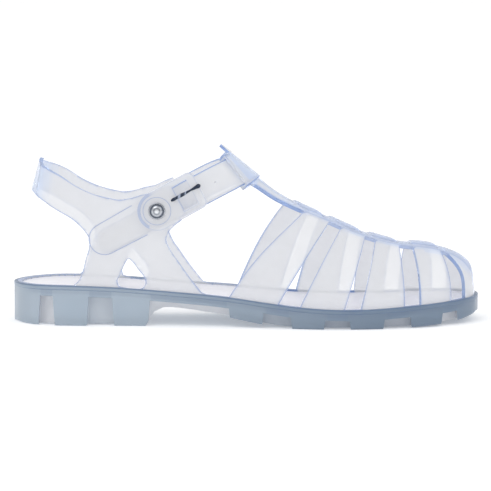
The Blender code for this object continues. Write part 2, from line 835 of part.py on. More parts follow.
def add_vamp(bm):
    """Add the middle surface over the foot: straps, slots, spine, toe cap and T-bar."""
    lines, kinds = [], []
    for column, steps in enumerate(COLUMN_STEPS):
        for k in range(steps):
            lines.append(column_line(column + k / steps))
            kinds.append(column)
    lines.append(column_line(len(STRAP_EDGES) - 1 + TOE_CLOSE))
    rows = len(lines[0])
    foot, spine = 1, 1 + FOOT_ROWS
    points = []
    for i, line in enumerate(lines):
        strap = i < len(kinds) and kinds[i] in STRAP_COLUMNS and i > 0 and kinds[i - 1] == kinds[i]
        for r, (v, x) in enumerate(line):
            link = strap and r - spine in SPINE_LINKS
            points.append(vamp_point(x, v, LINK_RISE if link else 0.0))
    faces = []
    for i, kind in enumerate(kinds):
        for r in range(rows - 1):
            in_foot = foot <= r < spine or spine + SPINE_ROWS - 1 <= r < rows - 2
            in_slot = r - spine in SPINE_SLOTS
            if kind in SLOT_COLUMNS and in_foot:
                continue
            if kind in STRAP_COLUMNS and in_slot:
                continue
            a = i * rows + r
            faces.append((a, a + 1, a + rows + 1, a + rows))
    add_patch(bm, points, faces)
    add_tbar(bm, lines[0][spine: spine + SPINE_ROWS])


def add_tbar(bm, front):
    """Add the T-bar's middle surface from the spine's rear edge to the loop's lower rail."""
    points = []
    for k in range(TBAR_STEPS + 1):
        part = k / TBAR_STEPS
        for r, (v, x) in enumerate(front):
            end = vamp_point(x, v)
            y = end.y * (1 - part) + (end.y * TBAR_WIDTH / SPINE_WIDTH) * part
            x_here = x + (rail_x(y) - x) * part
            half = y - vamp_point(x_here, 0.0).y
            side = 1 if half > 0 else -1
            point = vamp_point(x_here, side * spine_v(x_here, abs(half)))
            points.append(end if k == 0 else point)
    starts = [k * SPINE_ROWS + r for k in range(TBAR_STEPS) for r in range(SPINE_ROWS - 1)]
    faces = [(a, a + 1, a + SPINE_ROWS + 1, a + SPINE_ROWS) for a in starts]
    add_patch(bm, points, faces)


def local_place(a, b):
    """World x and height at a along and b across the buckle's axis from the stud."""
    x = along(STUD_PLACE[0]) + a * math.cos(STRAP_SLOPE) - b * math.sin(STRAP_SLOPE)
    z = STUD_PLACE[1] * BACK_HEIGHT + a * math.sin(STRAP_SLOPE) + b * math.cos(STRAP_SLOPE)
    return x, z


def circle(radius, count):
    """Points of a circle about the stud in the buckle's own directions."""
    turns = np.linspace(0, 2 * math.pi, count, endpoint=False)
    return [(radius * math.cos(t), radius * math.sin(t)) for t in turns]


def rim_run(x_share, side):
    """Point of the quarter's pattern on the rim's top."""
    x = along(x_share)
    return BASE.run(x, side), rim_z(x)


def quarter_loops():
    """Outer loop and holes of the quarters' flat pattern, with the lower band round the heel."""
    band_out, band_in = (BASE.run(along(STRAP_EDGES[0][k]), s) for k, s in ((0, -1), (3, 1)))
    outer = []
    for run in np.linspace(band_out, band_in, BAND_STEPS):
        (x, _), _ = BASE.at(run)
        outer.append((run, rim_z(x) - (SEAT_DEPTH - GAP)))
    halves = {}
    for side in (1, -1):
        line = [(band_in if side > 0 else band_out, rim_z(along(STRAP_EDGES[0][3 if side > 0 else 0])))]
        line.extend(rim_run(a, side) for a in (0.445, 0.425))
        line.extend(smooth_line(side_view(QUARTER_FRONT, side), 3))
        for a, b in ARM_CORNERS:
            x, z = local_place(a * FRAME_RADIUS, b * FRAME_RADIUS)
            line.append((quarter_run(x, z, side), z))
        line.extend(smooth_line([*reversed(side_view(QUARTER_TOP, side)), (0.0, BACK_HEIGHT)], 4)[:-1])
        halves[side] = line
    outer.extend(halves[1])
    outer.append((0.0, BACK_HEIGHT))
    outer.extend(reversed(halves[-1]))
    low = BACK_HEIGHT - BACK_STRAP
    rear_out = side_view(QUARTER_REAR, -1)
    rear_in = side_view(QUARTER_REAR, 1)
    rear_out[0], rear_in[0] = rim_run(QUARTER_REAR[0][0], -1), rim_run(QUARTER_REAR[0][0], 1)
    opening = smooth_line([*rear_out, (0.0, low), *reversed(rear_in)], 3)
    for run in np.linspace(opening[-1][0], opening[0][0], OPENING_STEPS)[1:-1]:
        (x, _), _ = BASE.at(run)
        opening.append((run, rim_z(x)))
    holes = [opening]
    for side in (-1, 1):
        line = side_view(TRIANGLE, side)
        line[0], line[-1] = rim_run(TRIANGLE[0][0], side), rim_run(TRIANGLE[-1][0], side)
        line = [(u, z + (0.5 * MM if i in (0, len(line) - 1) else 0.0)) for i, (u, z) in enumerate(line)]
        holes.append(line)
    stud = []
    for a, b in circle(SHANK_RADIUS + GAP, HOLE_STEPS):
        x, z = local_place(a, b)
        stud.append((quarter_run(x, z, -1), z))
    holes.append(stud)
    return outer, holes


def make_upper(material):
    """Upper: one hollow wall over the foot and round the heel, with loop, tongue and ankle strap."""
    bm = bmesh.new()
    add_vamp(bm)
    points, faces = flat_triangles(*quarter_loops(), PATTERN_STEP)
    add_patch(bm, [quarter_point(u, z) for u, z in points], faces)
    bmesh.ops.remove_doubles(bm, verts=bm.verts, dist=0.05 * MM)
    upper = new_object("upper", bm, material)
    wall = upper.modifiers.new("Wall", "SOLIDIFY")
    wall.thickness = WALL
    wall.offset = 0.0
    body, slot = make_loop()
    combine(upper, body, "UNION")
    combine(upper, slot, "DIFFERENCE")
    combine(upper, make_tip(), "UNION")
    combine(upper, make_strap(), "UNION")
    return upper


def frame_level():
    """Distance of the frame's middle outside the quarter's middle."""
    return WALL / 2 + GAP + FRAME_WALL / 2


def buckle_point(a, b, level):
    """World point beside the outer quarter, level outside the middle of its wall."""
    x, z = local_place(a, b)
    return Vector((x, wall_y(x, z, -1) - level, z))


def make_frame(material):
    """Clear frame with round rear end, window and front bar."""
    arc = np.linspace(math.pi / 2, 3 * math.pi / 2, 15)
    outer = [(FRAME_RADIUS * math.cos(t), FRAME_RADIUS * math.sin(t)) for t in arc]
    outer += [(FRAME_REACH, -FRAME_RADIUS), (FRAME_REACH, FRAME_RADIUS)]
    half = WINDOW_WIDTH / 2
    end = WINDOW_START + WINDOW_LENGTH
    window = [(WINDOW_START, -half), (end, -half), (end, half), (WINDOW_START, half)]
    points, faces = flat_triangles(outer, [window, circle(SHANK_RADIUS + GAP, HOLE_STEPS)], FRAME_STEP)
    bm = bmesh.new()
    add_patch(bm, [buckle_point(a, b, frame_level()) for a, b in points], faces)
    frame = new_object("buckle_frame", bm, material)
    wall = frame.modifiers.new("Wall", "SOLIDIFY")
    wall.thickness = FRAME_WALL
    wall.offset = 0.0
    return frame


def make_stud(material):
    """Domed rivet head on its shank, turned about the stud's axis."""
    seat = frame_level() + FRAME_WALL / 2 + GAP
    profile = [(0.0, -WALL / 2), (SHANK_RADIUS, -WALL / 2), (SHANK_RADIUS, seat), (STUD_RADIUS, seat)]
    for t in np.linspace(0.0, math.pi / 2, 6)[1:]:
        profile.append((STUD_RADIUS * math.cos(t), seat + 0.5 * MM + STUD_DOME * math.sin(t)))
    profile.insert(4, (STUD_RADIUS, seat + 0.5 * MM))
    origin = buckle_point(0.0, 0.0, 0.0)
    bm = bmesh.new()
    verts = [bm.verts.new(origin + Vector((r, -h, 0.0))) for r, h in profile]
    edges = [bm.edges.new(pair) for pair in zip(verts, verts[1:])]
    bmesh.ops.spin(bm, geom=[*verts, *edges], cent=origin, axis=(0, 1, 0), angle=2 * math.pi,
                   steps=STUD_STEPS, use_merge=True)
    bmesh.ops.remove_doubles(bm, verts=bm.verts, dist=0.001 * MM)
    return new_object("buckle_stud", bm, material)


def make_prong(material):
    """Steel prong that lies on the frame across its window."""
    level = frame_level() + FRAME_WALL / 2 + GAP + PRONG_RADIUS
    start = WINDOW_START - PRONG_LEAD
    rings = []
    for part in np.linspace(0.0, 1.0, PRONG_STEPS):
        centre = buckle_point(start + PRONG_LENGTH * part, PRONG_OFFSET, level)
        across = (buckle_point(0.0, 1.0 * MM, 0.0) - buckle_point(0.0, 0.0, 0.0)).normalized()
        ring = []
        for t in np.linspace(0, 2 * math.pi, PRONG_SIDES, endpoint=False):
            ring.append(centre + PRONG_RADIUS * (across * math.cos(t) + Vector((0, -math.sin(t), 0))))
        rings.append(ring)
    return loft("buckle_prong", rings, material)


def main():
    """Build the sandal."""
    for obj in list(bpy.data.objects):
        bpy.data.objects.remove(obj, do_unlink=True)
    clear = make_material("clear_plastic", (0.80, 0.84, 0.90), 0.25)
    tinted = make_material("tinted_plastic", (0.42, 0.52, 0.62), 0.30)
    milky = make_material("milky_plastic", (0.90, 0.91, 0.93), 0.45)
    steel = make_material("bright_steel", (0.75, 0.76, 0.78), 0.20, 1.0)
    dark_steel = make_material("dark_steel", (0.16, 0.18, 0.22), 0.30, 1.0)
    make_sole(tinted)
    make_insole(milky)
    make_upper(clear)
    make_frame(clear)
    make_stud(steel)
    make_prong(dark_steel)


main()
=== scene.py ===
"""Looks of the jelly sandal: clear caged upper, tinted sole, milky footbed and steel buckle parts."""
import enum
import logging
import math
from collections.abc import Callable
from dataclasses import dataclass

import bmesh
import bpy
import numpy as np
from mathutils import Matrix, Vector
from mathutils.geometry import delaunay_2d_cdt
from mathutils.kdtree import KDTree


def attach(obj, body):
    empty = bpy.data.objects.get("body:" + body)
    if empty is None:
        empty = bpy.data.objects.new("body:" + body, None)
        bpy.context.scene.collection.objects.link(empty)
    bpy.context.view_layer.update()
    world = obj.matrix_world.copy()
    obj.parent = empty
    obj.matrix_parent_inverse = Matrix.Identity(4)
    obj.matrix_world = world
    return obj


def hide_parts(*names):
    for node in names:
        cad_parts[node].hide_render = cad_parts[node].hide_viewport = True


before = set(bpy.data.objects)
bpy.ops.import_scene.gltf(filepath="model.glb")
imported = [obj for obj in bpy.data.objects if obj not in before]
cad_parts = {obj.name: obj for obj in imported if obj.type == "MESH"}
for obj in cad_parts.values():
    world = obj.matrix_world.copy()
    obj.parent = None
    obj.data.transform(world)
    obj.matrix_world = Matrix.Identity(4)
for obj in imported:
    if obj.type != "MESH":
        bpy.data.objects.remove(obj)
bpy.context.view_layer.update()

MM = 0.001
LOG = logging.getLogger("sandal")

Point = tuple[float, float]
Colour = tuple[float, float, float]
Rows = tuple[tuple[float, ...], ...]


def ease(value: float, start: float, end: float) -> float:
    """Smooth step from 0 at start to 1 at end."""
    t = min(max((value - start) / (end - start), 0.0), 1.0)
    return t * t * (3.0 - 2.0 * t)


def through(xs: list[float], ys: list[float], x: float) -> float:
    """Value of a smooth curve through points.

    Args:
        xs: Rising places of the points.
        ys: Values at those places.
        x: Place asked for.

    Returns:
        The curve's value, flat beyond the ends.
    """
    px, py = np.asarray(xs, float), np.asarray(ys, float)
    x = min(max(x, px[0]), px[-1])
    slope: float = np.gradient(py, px)
    i = int(np.clip(np.searchsorted(px, x) - 1, 0, len(px) - 2))
    step = px[i + 1] - px[i]
    t = (x - px[i]) / step
    value = py[i] * (1 + 2 * t) * (1 - t) ** 2 + py[i + 1] * t * t * (3 - 2 * t)
    return float(value + step * (slope[i] * t * (1 - t) ** 2 - slope[i + 1] * t * t * (1 - t)))


class Side(enum.IntEnum):
    """Side of the right foot."""

    OUTER = -1
    INNER = 1


@dataclass(frozen=True)
class Last:
    """Sizes and lines that the sole and the upper share."""

    length: float = 253.4 * MM
    ball_width: float = 94.0 * MM
    heel_width: float = 60.6 * MM
    heel_rim: float = 21.7 * MM
    toe_spring: float = 5.0 * MM
    arch_rise: float = 9.1 * MM
    instep: float = 78.2 * MM
    back: float = 88.3 * MM
    heel_lean: float = 13.0 * MM
    ankle_ease: float = 0.8 * MM
    arm_taper: float = 3.6 * MM
    rim: float = 1.5 * MM
    wall: float = 2.0 * MM
    gap: float = 0.3 * MM
    seat: float = 4.5 * MM
    toe_across: float = 0.090
    plan: Rows = (
        # along, outer, inner
        (0.027, 0.610, 0.610), (0.075, 0.915, 0.915), (0.137, 1.000, 1.000), (0.224, 1.005, 0.975),
        (0.322, 1.034, 0.905), (0.421, 0.997, 0.830), (0.500, 0.962, 0.830), (0.599, 0.961, 0.890),
        (0.678, 0.996, 0.968), (0.737, 0.985, 1.000), (0.816, 0.904, 0.962), (0.883, 0.770, 0.865),
        (0.934, 0.595, 0.735), (0.970, 0.400, 0.570), (0.992, 0.190, 0.370),
    )
    rim_line: Rows = (
        # along, rim
        (0.000, 0.990), (0.110, 1.000), (0.224, 0.952), (0.329, 0.866), (0.466, 0.735), (0.540, 0.625),
        (0.614, 0.530), (0.745, 0.482), (0.830, 0.530), (0.917, 0.592), (1.000, 0.650),
    )
    under_line: Rows = (
        # along, rise, spring
        (0.290, 0.00, 0.00), (0.299, 0.52, 0.00), (0.312, 0.90, 0.00), (0.330, 1.00, 0.00),
        (0.364, 0.95, 0.00), (0.398, 0.83, 0.00), (0.466, 0.55, 0.00), (0.508, 0.33, 0.00),
        (0.571, 0.06, 0.00), (0.600, 0.00, 0.00), (0.790, 0.00, 0.00), (0.866, 0.00, 0.10),
        (0.917, 0.00, 0.26), (0.962, 0.00, 0.55), (1.000, 0.00, 1.00),
    )
    top_line: Rows = (
        # along, height
        (0.440, 1.195), (0.523, 1.000), (0.555, 0.917), (0.589, 0.849), (0.620, 0.797), (0.652, 0.752),
        (0.680, 0.712), (0.710, 0.667), (0.744, 0.622), (0.779, 0.585), (0.813, 0.556), (0.848, 0.540),
        (0.882, 0.530), (0.917, 0.509), (0.945, 0.478), (0.968, 0.433), (0.982, 0.376),
    )
    pinch_line: Rows = ((0.520, 0.02), (0.640, 0.24), (0.850, 0.28), (0.960, 0.22))

    def along(self, share: float) -> float:
        """World x of a share of the length."""
        return (share - 0.5) * self.length

    def share(self, x: float) -> float:
        """Share of the length at world x."""
        return x / self.length + 0.5

    def row(self, rows: Rows, column: int, x: float) -> float:
        """Value of a table's column at world x."""
        return through([r[0] for r in rows], [r[column] for r in rows], self.share(x))

    def half_width(self, share: float) -> float:
        """Half width that the plan's shares follow."""
        return (self.heel_width + (self.ball_width - self.heel_width) * ease(share, 0.30, 0.66)) / 2

    def rim_z(self, x: float) -> float:
        """Height of the sole's rim at world x."""
        return self.heel_rim * self.row(self.rim_line, 1, x)

    def under_z(self, x: float) -> float:
        """Height of the underside at world x."""
        rise, spring = (self.row(self.under_line, k, x) for k in (1, 2))
        return max(0.0, self.arch_rise * rise) + self.toe_spring * max(0.0, spring)


class Outline:
    """The sole's outline moved inwards, asked by x or by distance from the back of the heel."""

    steps: int = 720

    def __init__(self, last: Last, inset: float) -> None:
        """Work out the outline's two sides.

        Args:
            last: Sizes that the plan follows.
            inset: Distance inside the sole's edge.
        """
        ring = self._ring(last)
        tangent = np.roll(ring, -1, axis=0) - np.roll(ring, 1, axis=0)
        tangent /= np.linalg.norm(tangent, axis=1)[:, None]
        ring = ring + inset * np.column_stack((-tangent[:, 1], tangent[:, 0]))
        heel = int(np.argmin(ring[:, 0]))
        ring = np.roll(ring, -heel, axis=0)
        toe = int(np.argmax(ring[:, 0]))
        self.lines = {Side.OUTER: ring[: toe + 1], Side.INNER: np.vstack((ring[toe:], ring[:1]))[::-1]}
        self.back, self.front = float(ring[0, 0]), float(ring[toe, 0])
        self.runs = {}
        for side, line in self.lines.items():
            steps = np.linalg.norm(np.diff(line, axis=0), axis=1)
            self.runs[side] = np.concatenate(([0.0], np.cumsum(steps)))

    def _ring(self, last: Last) -> np.ndarray:
        """Closed outline through the plan's points, evenly spaced.

        Args:
            last: Sizes of the last.

        Returns:
            Points of the outline.
        """
        outer = [(last.along(a), -o * last.half_width(a)) for a, o, _ in last.plan]
        inner = [(last.along(a), i * last.half_width(a)) for a, _, i in last.plan]
        toe = (last.along(1.0), last.toe_across * last.ball_width / 2)
        points = np.array([(last.along(0.0), 0.0), *outer, toe, *reversed(inner)])
        n = len(points)
        fine = []
        for i in range(n):
            p0, p1, p2, p3 = points[i - 1], points[i], points[(i + 1) % n], points[(i + 2) % n]
            d01, d12, d23 = (math.sqrt(np.linalg.norm(b - a)) for a, b in ((p0, p1), (p1, p2), (p2, p3)))
            m1 = p2 - p1 + d12 * ((p1 - p0) / d01 - (p2 - p0) / (d01 + d12))
            m2 = p2 - p1 + d12 * ((p3 - p2) / d23 - (p3 - p1) / (d12 + d23))
            for t in np.linspace(0, 1, 24, endpoint=False):
                point = (1 + 2 * t) * (1 - t) ** 2 * p1 + t * t * (3 - 2 * t) * p2
                fine.append(point + t * (1 - t) ** 2 * m1 - t * t * (1 - t) * m2)
        closed = np.vstack((fine, fine[:1]))
        run = np.concatenate(([0.0], np.cumsum(np.linalg.norm(np.diff(closed, axis=0), axis=1))))
        at = np.linspace(0, run[-1], self.steps, endpoint=False)
        return np.column_stack([np.interp(at, run, closed[:, k]) for k in (0, 1)])

    def y(self, x: float, side: Side) -> float:
        """Edge's y at world x."""
        line = self.lines[side]
        return float(np.interp(x, line[:, 0], line[:, 1]))

    def run(self, x: float, side: Side) -> float:
        """Signed distance round the outline to world x."""
        return side * float(np.interp(x, self.lines[side][:, 0], self.runs[side]))

    def at(self, run: float) -> tuple[np.ndarray, np.ndarray]:
        """Point and inward direction at a distance from the heel's back.

        Args:
            run: Distance, negative on the outer side.

        Returns:
            The point and the unit vector that points inwards.
        """
        side = Side.OUTER if run < 0 else Side.INNER
        line, runs, reach = self.lines[side], self.runs[side], 1.5 * MM
        point = np.array([np.interp(abs(run), runs, line[:, k]) for k in (0, 1)])
        ahead = np.array([np.interp(abs(run) + reach, runs, line[:, k]) for k in (0, 1)])
        behind = np.array([np.interp(abs(abs(run) - reach), runs, line[:, k]) for k in (0, 1)])
        if abs(run) < reach:
            behind[1] = -behind[1]
        tangent = (ahead - behind) / np.linalg.norm(ahead - behind)
        return point, np.array((tangent[1], -tangent[0])) * side


class Sock:
    """A shader socket whose operators add Math nodes."""

    def __init__(self, tree: "Tree", socket: bpy.types.NodeSocket) -> None:
        """Wrap a socket of a tree."""
        self.tree = tree
        self.socket = socket

    def _math(self, operation: str, a: "Sock | float", b: "Sock | float") -> "Sock":
        """Add a Math node."""
        return self.tree.node("ShaderNodeMath", {"operation": operation}, {0: a, 1: b})

    def __add__(self, other: "Sock | float") -> "Sock":
        """Sum."""
        return self._math("ADD", self, other)

    def __radd__(self, other: float) -> "Sock":
        """Reflected sum."""
        return self._math("ADD", other, self)

    def __mul__(self, other: "Sock | float") -> "Sock":
        """Product."""
        return self._math("MULTIPLY", self, other)

    def __rmul__(self, other: float) -> "Sock":
        """Reflected product."""
        return self._math("MULTIPLY", other, self)

    def __sub__(self, other: "Sock | float") -> "Sock":
        """Difference."""
        return self._math("SUBTRACT", self, other)

    def __pow__(self, other: float) -> "Sock":
        """Power."""
        return self._math("POWER", self, other)

    def __rsub__(self, other: float) -> "Sock":
        """Reflected difference."""
        return self._math("SUBTRACT", other, self)


class Tree:
    """A material's node tree, filled through one method."""

    def __init__(self, name: str) -> None:
        """Make a material and empty its tree.

        Args:
            name: Name to give.
        """
        self.material = bpy.data.materials.new(name)
        self.material.use_nodes = True
        self.nodes = self.material.node_tree.nodes
        self.links = self.material.node_tree.links
        self.nodes.clear()
        self.output = self.nodes.new("ShaderNodeOutputMaterial")

    def node(self, kind: str, settings: dict[str, object], sockets: dict[object, object],
             out: str | int = 0) -> Sock:
        """Add a node.

        Args:
            kind: The node's type.
            settings: Properties set before the sockets.
            sockets: Values or wrapped sockets by the input's name or number.
            out: Output to hand back.

        Returns:
            The wrapped output.
        """
        node = self.nodes.new(kind)
        for key, value in settings.items():
            setattr(node, key, value)
        for key, value in sockets.items():
            if isinstance(value, Sock):
                self.links.new(value.socket, node.inputs[key])
            else:
                node.inputs[key].default_value = value
        return Sock(self, node.outputs[out])

    def place(self) -> Sock:
        """Object coordinates."""
        return self.node("ShaderNodeTexCoord", {}, {}, "Object")

    def ahead(self) -> Sock:
        """World x."""
        return self.node("ShaderNodeSeparateXYZ", {}, {0: self.place()}, "X")

    def noise(self, scale: float, detail: float = 3.0) -> Sock:
        """Noise in object coordinates."""
        return self.node("ShaderNodeTexNoise", {}, {"Vector": self.place(), "Scale": scale, "Detail": detail})

    def mark(self, name: str) -> Sock:
        """A value that the piece's own faces carry."""
        return self.node("ShaderNodeAttribute", {"attribute_name": name}, {}, "Fac")

    def mix(self, share: Sock, low: "Colour | Sock", high: "Colour | Sock") -> Sock:
        """Colour between low and high."""
        ends = [value if isinstance(value, Sock) else (*value, 1.0) for value in (low, high)]
        return self.node("ShaderNodeMix", {"data_type": "RGBA"}, {0: share, 6: ends[0], 7: ends[1]}, 2)

    def surface(self, shader: Sock) -> None:
        """Connect the surface."""
        self.links.new(shader.socket, self.output.inputs["Surface"])

    def volume(self, shader: Sock) -> None:
        """Connect the volume."""
        self.links.new(shader.socket, self.output.inputs["Volume"])


@dataclass(frozen=True)
class ClearPlastic:
    """Soft clear PVC with a satin skin, darker along its edges and tinted by its own depth; its emission is a
    painted glow that stands in for light passing through it.
    """

    name: str
    colour: Colour
    cloudy: Colour
    edge: Colour
    pale: Colour
    depth_colour: Colour
    depth: float
    through: float
    roughness: float
    grain: float
    bend: float = 1.42
    fore: Colour = (1.0, 1.0, 1.0)
    fore_from: float = -60.0 * MM
    fore_to: float = 70.0 * MM
    line: float = 1.0
    # Emission strength: painted light that lifts the plastic's shaded parts.
    painted_glow: float = 0.0

    def build(self) -> bpy.types.Material:
        """Make the material.

        Returns:
            The material.
        """
        tree = Tree(self.name)
        body = tree.mix(tree.noise(55.0, 4.0), self.colour, self.cloudy)
        ahead = tree.node("ShaderNodeMapRange", {}, {
            "Value": tree.ahead(), "From Min": self.fore_from, "From Max": self.fore_to})
        body = tree.node("ShaderNodeMix", {"data_type": "RGBA", "blend_type": "MULTIPLY"},
                         {0: ahead, 6: body, 7: (*self.fore, 1.0)}, 2)
        body = tree.mix(tree.mark("pale"), body, self.pale)
        colour = tree.mix(tree.mark("edge") ** self.line, body, self.edge)
        wave = tree.noise(130.0, 3.0)
        bump = tree.node("ShaderNodeBump", {}, {"Strength": self.grain, "Distance": 0.0004,
                                                "Height": 0.35 * tree.noise(1900.0, 2.0) + 0.65 * wave})
        # The emission in the plastic's own colour is painted light that brightens its shade.
        tree.surface(tree.node("ShaderNodeBsdfPrincipled", {}, {
            "Base Color": colour, "Roughness": self.roughness + 0.08 * (wave - 0.5), "IOR": self.bend,
            "Transmission Weight": self.through, "Normal": bump, "Specular IOR Level": 0.5,
            "Emission Color": colour, "Emission Strength": self.painted_glow}))
        tree.volume(tree.node("ShaderNodeVolumeAbsorption", {}, {"Color": (*self.depth_colour, 1.0),
                                                                 "Density": self.depth}))
        return tree.material


@dataclass(frozen=True)
class Steel:
    """Bright or darkened steel with fine wear, and marked faces mixed to a second colour: painted dark
    reflections on the stud, painted glints on the prong.
    """

    name: str
    colour: Colour
    # Second colour, for the painted reflections or glints of the marked faces.
    dark: Colour
    roughness: float

    def build(self) -> bpy.types.Material:
        """Make the material.

        Returns:
            The material.
        """
        tree = Tree(self.name)
        wear = tree.noise(900.0, 4.0)
        # The mark mixes in painted reflections and glints; the noise is fine wear.
        colour = tree.mix(tree.mark("painted_reflection") + 0.3 * (wear - 0.5), self.colour, self.dark)
        bump = tree.node("ShaderNodeBump", {}, {"Strength": 0.12, "Distance": 0.0002,
                                                "Height": tree.noise(2400.0, 2.0)})
        tree.surface(tree.node("ShaderNodeBsdfPrincipled", {}, {
            "Base Color": colour, "Metallic": 1.0, "Roughness": self.roughness + 0.15 * (wear - 0.5),
            "Normal": bump}))
        return tree.material


# The glow values are painted light: they lift the shade inside the upper, in the sole's recesses and on the
# footbed under the straps.
UPPER_CLEAR = ClearPlastic(
    "upper_clear", (0.745, 0.75, 0.765), (0.71, 0.715, 0.735), (0.30, 0.40, 0.64), (0.62, 0.69, 0.82),
    (0.62, 0.72, 0.88), 10.0, 0.59, 0.05, 0.05, 1.25, line=6.0, painted_glow=0.15)
SOLE_TINT = ClearPlastic(
    "sole_tint", (0.50, 0.57, 0.64), (0.44, 0.52, 0.60), (0.17, 0.25, 0.39), (0.86, 0.86, 0.88),
    (0.60, 0.70, 0.80), 12.0, 0.45, 0.30, 0.16, 1.35, (0.52, 0.58, 0.66), painted_glow=0.07)
FOOTBED_MILK = ClearPlastic(
    "footbed_milk", (0.88, 0.87, 0.90), (0.84, 0.83, 0.87), (0.70, 0.76, 0.84), (0.93, 0.94, 0.96),
    (0.80, 0.86, 0.93), 10.0, 0.10, 0.34, 0.30, painted_glow=0.16)
# Second colours: painted dark reflection rings on the stud, painted bright glints on the prong.
STUD_STEEL = Steel("stud_steel", (0.78, 0.80, 0.83), (0.09, 0.11, 0.15), 0.22)
PRONG_STEEL = Steel("prong_steel", (0.035, 0.045, 0.07), (0.55, 0.62, 0.76), 0.35)


class Form:
    """Wall surfaces of the upper, worked out from the last."""

    edges: Rows = (
        # foot_out, top_out, top_in, foot_in, bow_out, bow_in
        (0.464, 0.622, 0.586, 0.482, 1.0, 1.0), (0.568, 0.676, 0.634, 0.574, 1.0, 1.0),
        (0.613, 0.701, 0.659, 0.610, 1.0, 1.0), (0.706, 0.753, 0.724, 0.704, 1.0, 1.0),
        (0.740, 0.775, 0.750, 0.738, 1.0, 1.0), (0.832, 0.826, 0.814, 0.806, 2.0, 1.0),
        (0.866, 0.856, 0.842, 0.837, 2.5, 1.0), (0.932, 0.915, 0.896, 0.908, 3.0, 3.0),
        (0.963, 0.927, 0.917, 0.940, 5.0, 4.0),
    )
    rear: Rows = (
        (0.134, 0.243), (0.145, 0.272), (0.154, 0.332), (0.161, 0.410), (0.168, 0.481), (0.168, 0.531),
        (0.161, 0.567), (0.151, 0.602), (0.134, 0.646), (0.107, 0.692), (0.072, 0.755),
    )
    top: Rows = (
        (0.107, 0.912), (0.141, 0.849), (0.175, 0.804), (0.210, 0.777), (0.230, 0.767), (0.253, 0.775),
        (0.278, 0.796),
    )
    front: Rows = (
        (0.405, 0.205), (0.381, 0.292), (0.354, 0.401), (0.338, 0.469), (0.331, 0.529), (0.335, 0.567),
        (0.347, 0.607), (0.364, 0.645),
    )
    triangle: Rows = (
        (0.230, 0.240), (0.227, 0.275), (0.234, 0.315), (0.244, 0.382), (0.251, 0.409), (0.261, 0.385),
        (0.272, 0.341), (0.285, 0.291), (0.287, 0.255), (0.281, 0.236),
    )
    stud: Point = (0.3117, 0.702)
    strap_place: Point = (0.289, 0.646)
    strap_front: Point = (0.491, 0.941)
    tail_start: float = 0.185
    strap_narrow_to: float = 0.290
    strap_wide_from: float = 0.375
    strap_end: float = 0.325
    arc_share: float = 0.400
    taper_places: Point = (0.30, 0.42)
    taper_heights: Point = (0.25, 0.7)
    slope = math.radians(28.6)
    tbar_slope: float = math.radians(39.0)
    spine: float = 17.6 * MM
    link: float = 6.4 * MM
    link_rise: float = 1.2 * MM
    rail: float = 3.2 * MM
    spine_fit: float = 0.55
    strap_width: float = 17.0 * MM
    tip_width: float = 13.4 * MM
    strap_wall: float = 1.8 * MM

    def __init__(self, last: Last) -> None:
        """Keep the last and the outline that the wall's middle stands on.

        Args:
            last: Sizes of the last.
        """
        self.last = last
        self.base = Outline(last, last.rim + last.gap + last.wall / 2)
        xs = [last.along(r[0]) for r in last.top_line]
        reach = [math.sqrt(max(self.base.front - x, 0.0)) for x in xs]
        zs = [r[1] * last.instep - last.wall / 2 for r in last.top_line]
        self.reach = [0.0, *reversed(reach)]
        self.heights = [last.rim_z(self.base.front), *reversed(zs)]
        self.arc_start = last.along(self.arc_share)
        self.front_x = last.along(self.strap_front[0])
        self.dip = self.strap_z(self.front_x) - self.strap_front[1] * last.back

    def top_z(self, x: float) -> float:
        """Height of the wall's middle on the top line."""
        return through(self.reach, self.heights, math.sqrt(max(self.base.front - x, 0.0)))

    def vamp(self, x: float, v: float, lift: float = 0.0) -> Vector:
        """Point of the wall over the foot.

        Args:
            x: World x.
            v: Share from -1 at the outer edge to 1 at the inner edge, past them straight down.
            lift: Rise of the spine's links.

        Returns:
            The point on the wall's middle.
        """
        side = Side.OUTER if v < 0 else Side.INNER
        edge = self.base.y(x, side)
        foot = self.last.rim_z(x)
        if abs(v) >= 1.0:
            return Vector((x, edge, foot - (abs(v) - 1.0) * (self.last.seat - self.last.gap)))
        centre = (self.base.y(x, Side.OUTER) + self.base.y(x, Side.INNER)) / 2
        angle = (1.0 - abs(v)) * math.pi / 2
        pinch = self.last.row(self.last.pinch_line, 1, x)
        across = math.cos(angle) * (1.0 - pinch * math.sin(angle) ** 2)
        rise = self.top_z(x) + lift - foot
        return Vector((x, centre + (edge - centre) * across, foot + rise * math.sin(angle)))

    def spine_v(self, x: float, distance: float) -> float:
        """Share v at a distance from the spine's middle."""
        vs = np.linspace(0.0, 1.0, 60)
        ys = [self.vamp(x, v).y - self.vamp(x, 0.0).y for v in vs]
        return float(np.interp(distance, ys, vs))

    def spine_shares(self, x: float) -> list[float]:
        """Shares v of the spine's rails, slots and link.

        Args:
            x: World x.

        Returns:
            Places across the spine.
        """
        narrow = (self.base.y(x, Side.INNER) - self.base.y(x, Side.OUTER)) / 2
        fit = min(1.0, self.spine_fit * narrow / (self.spine / 2))
        widths = (self.spine / 2, self.spine / 2 - self.rail, self.link / 2)
        if narrow < self.last.wall:
            parts = [self.spine_fit * w / widths[0] for w in widths]
        else:
            parts = [self.spine_v(x, w * fit) for w in widths]
        return [-parts[0], -parts[1], -parts[2], 0.0, parts[2], parts[1], parts[0]]

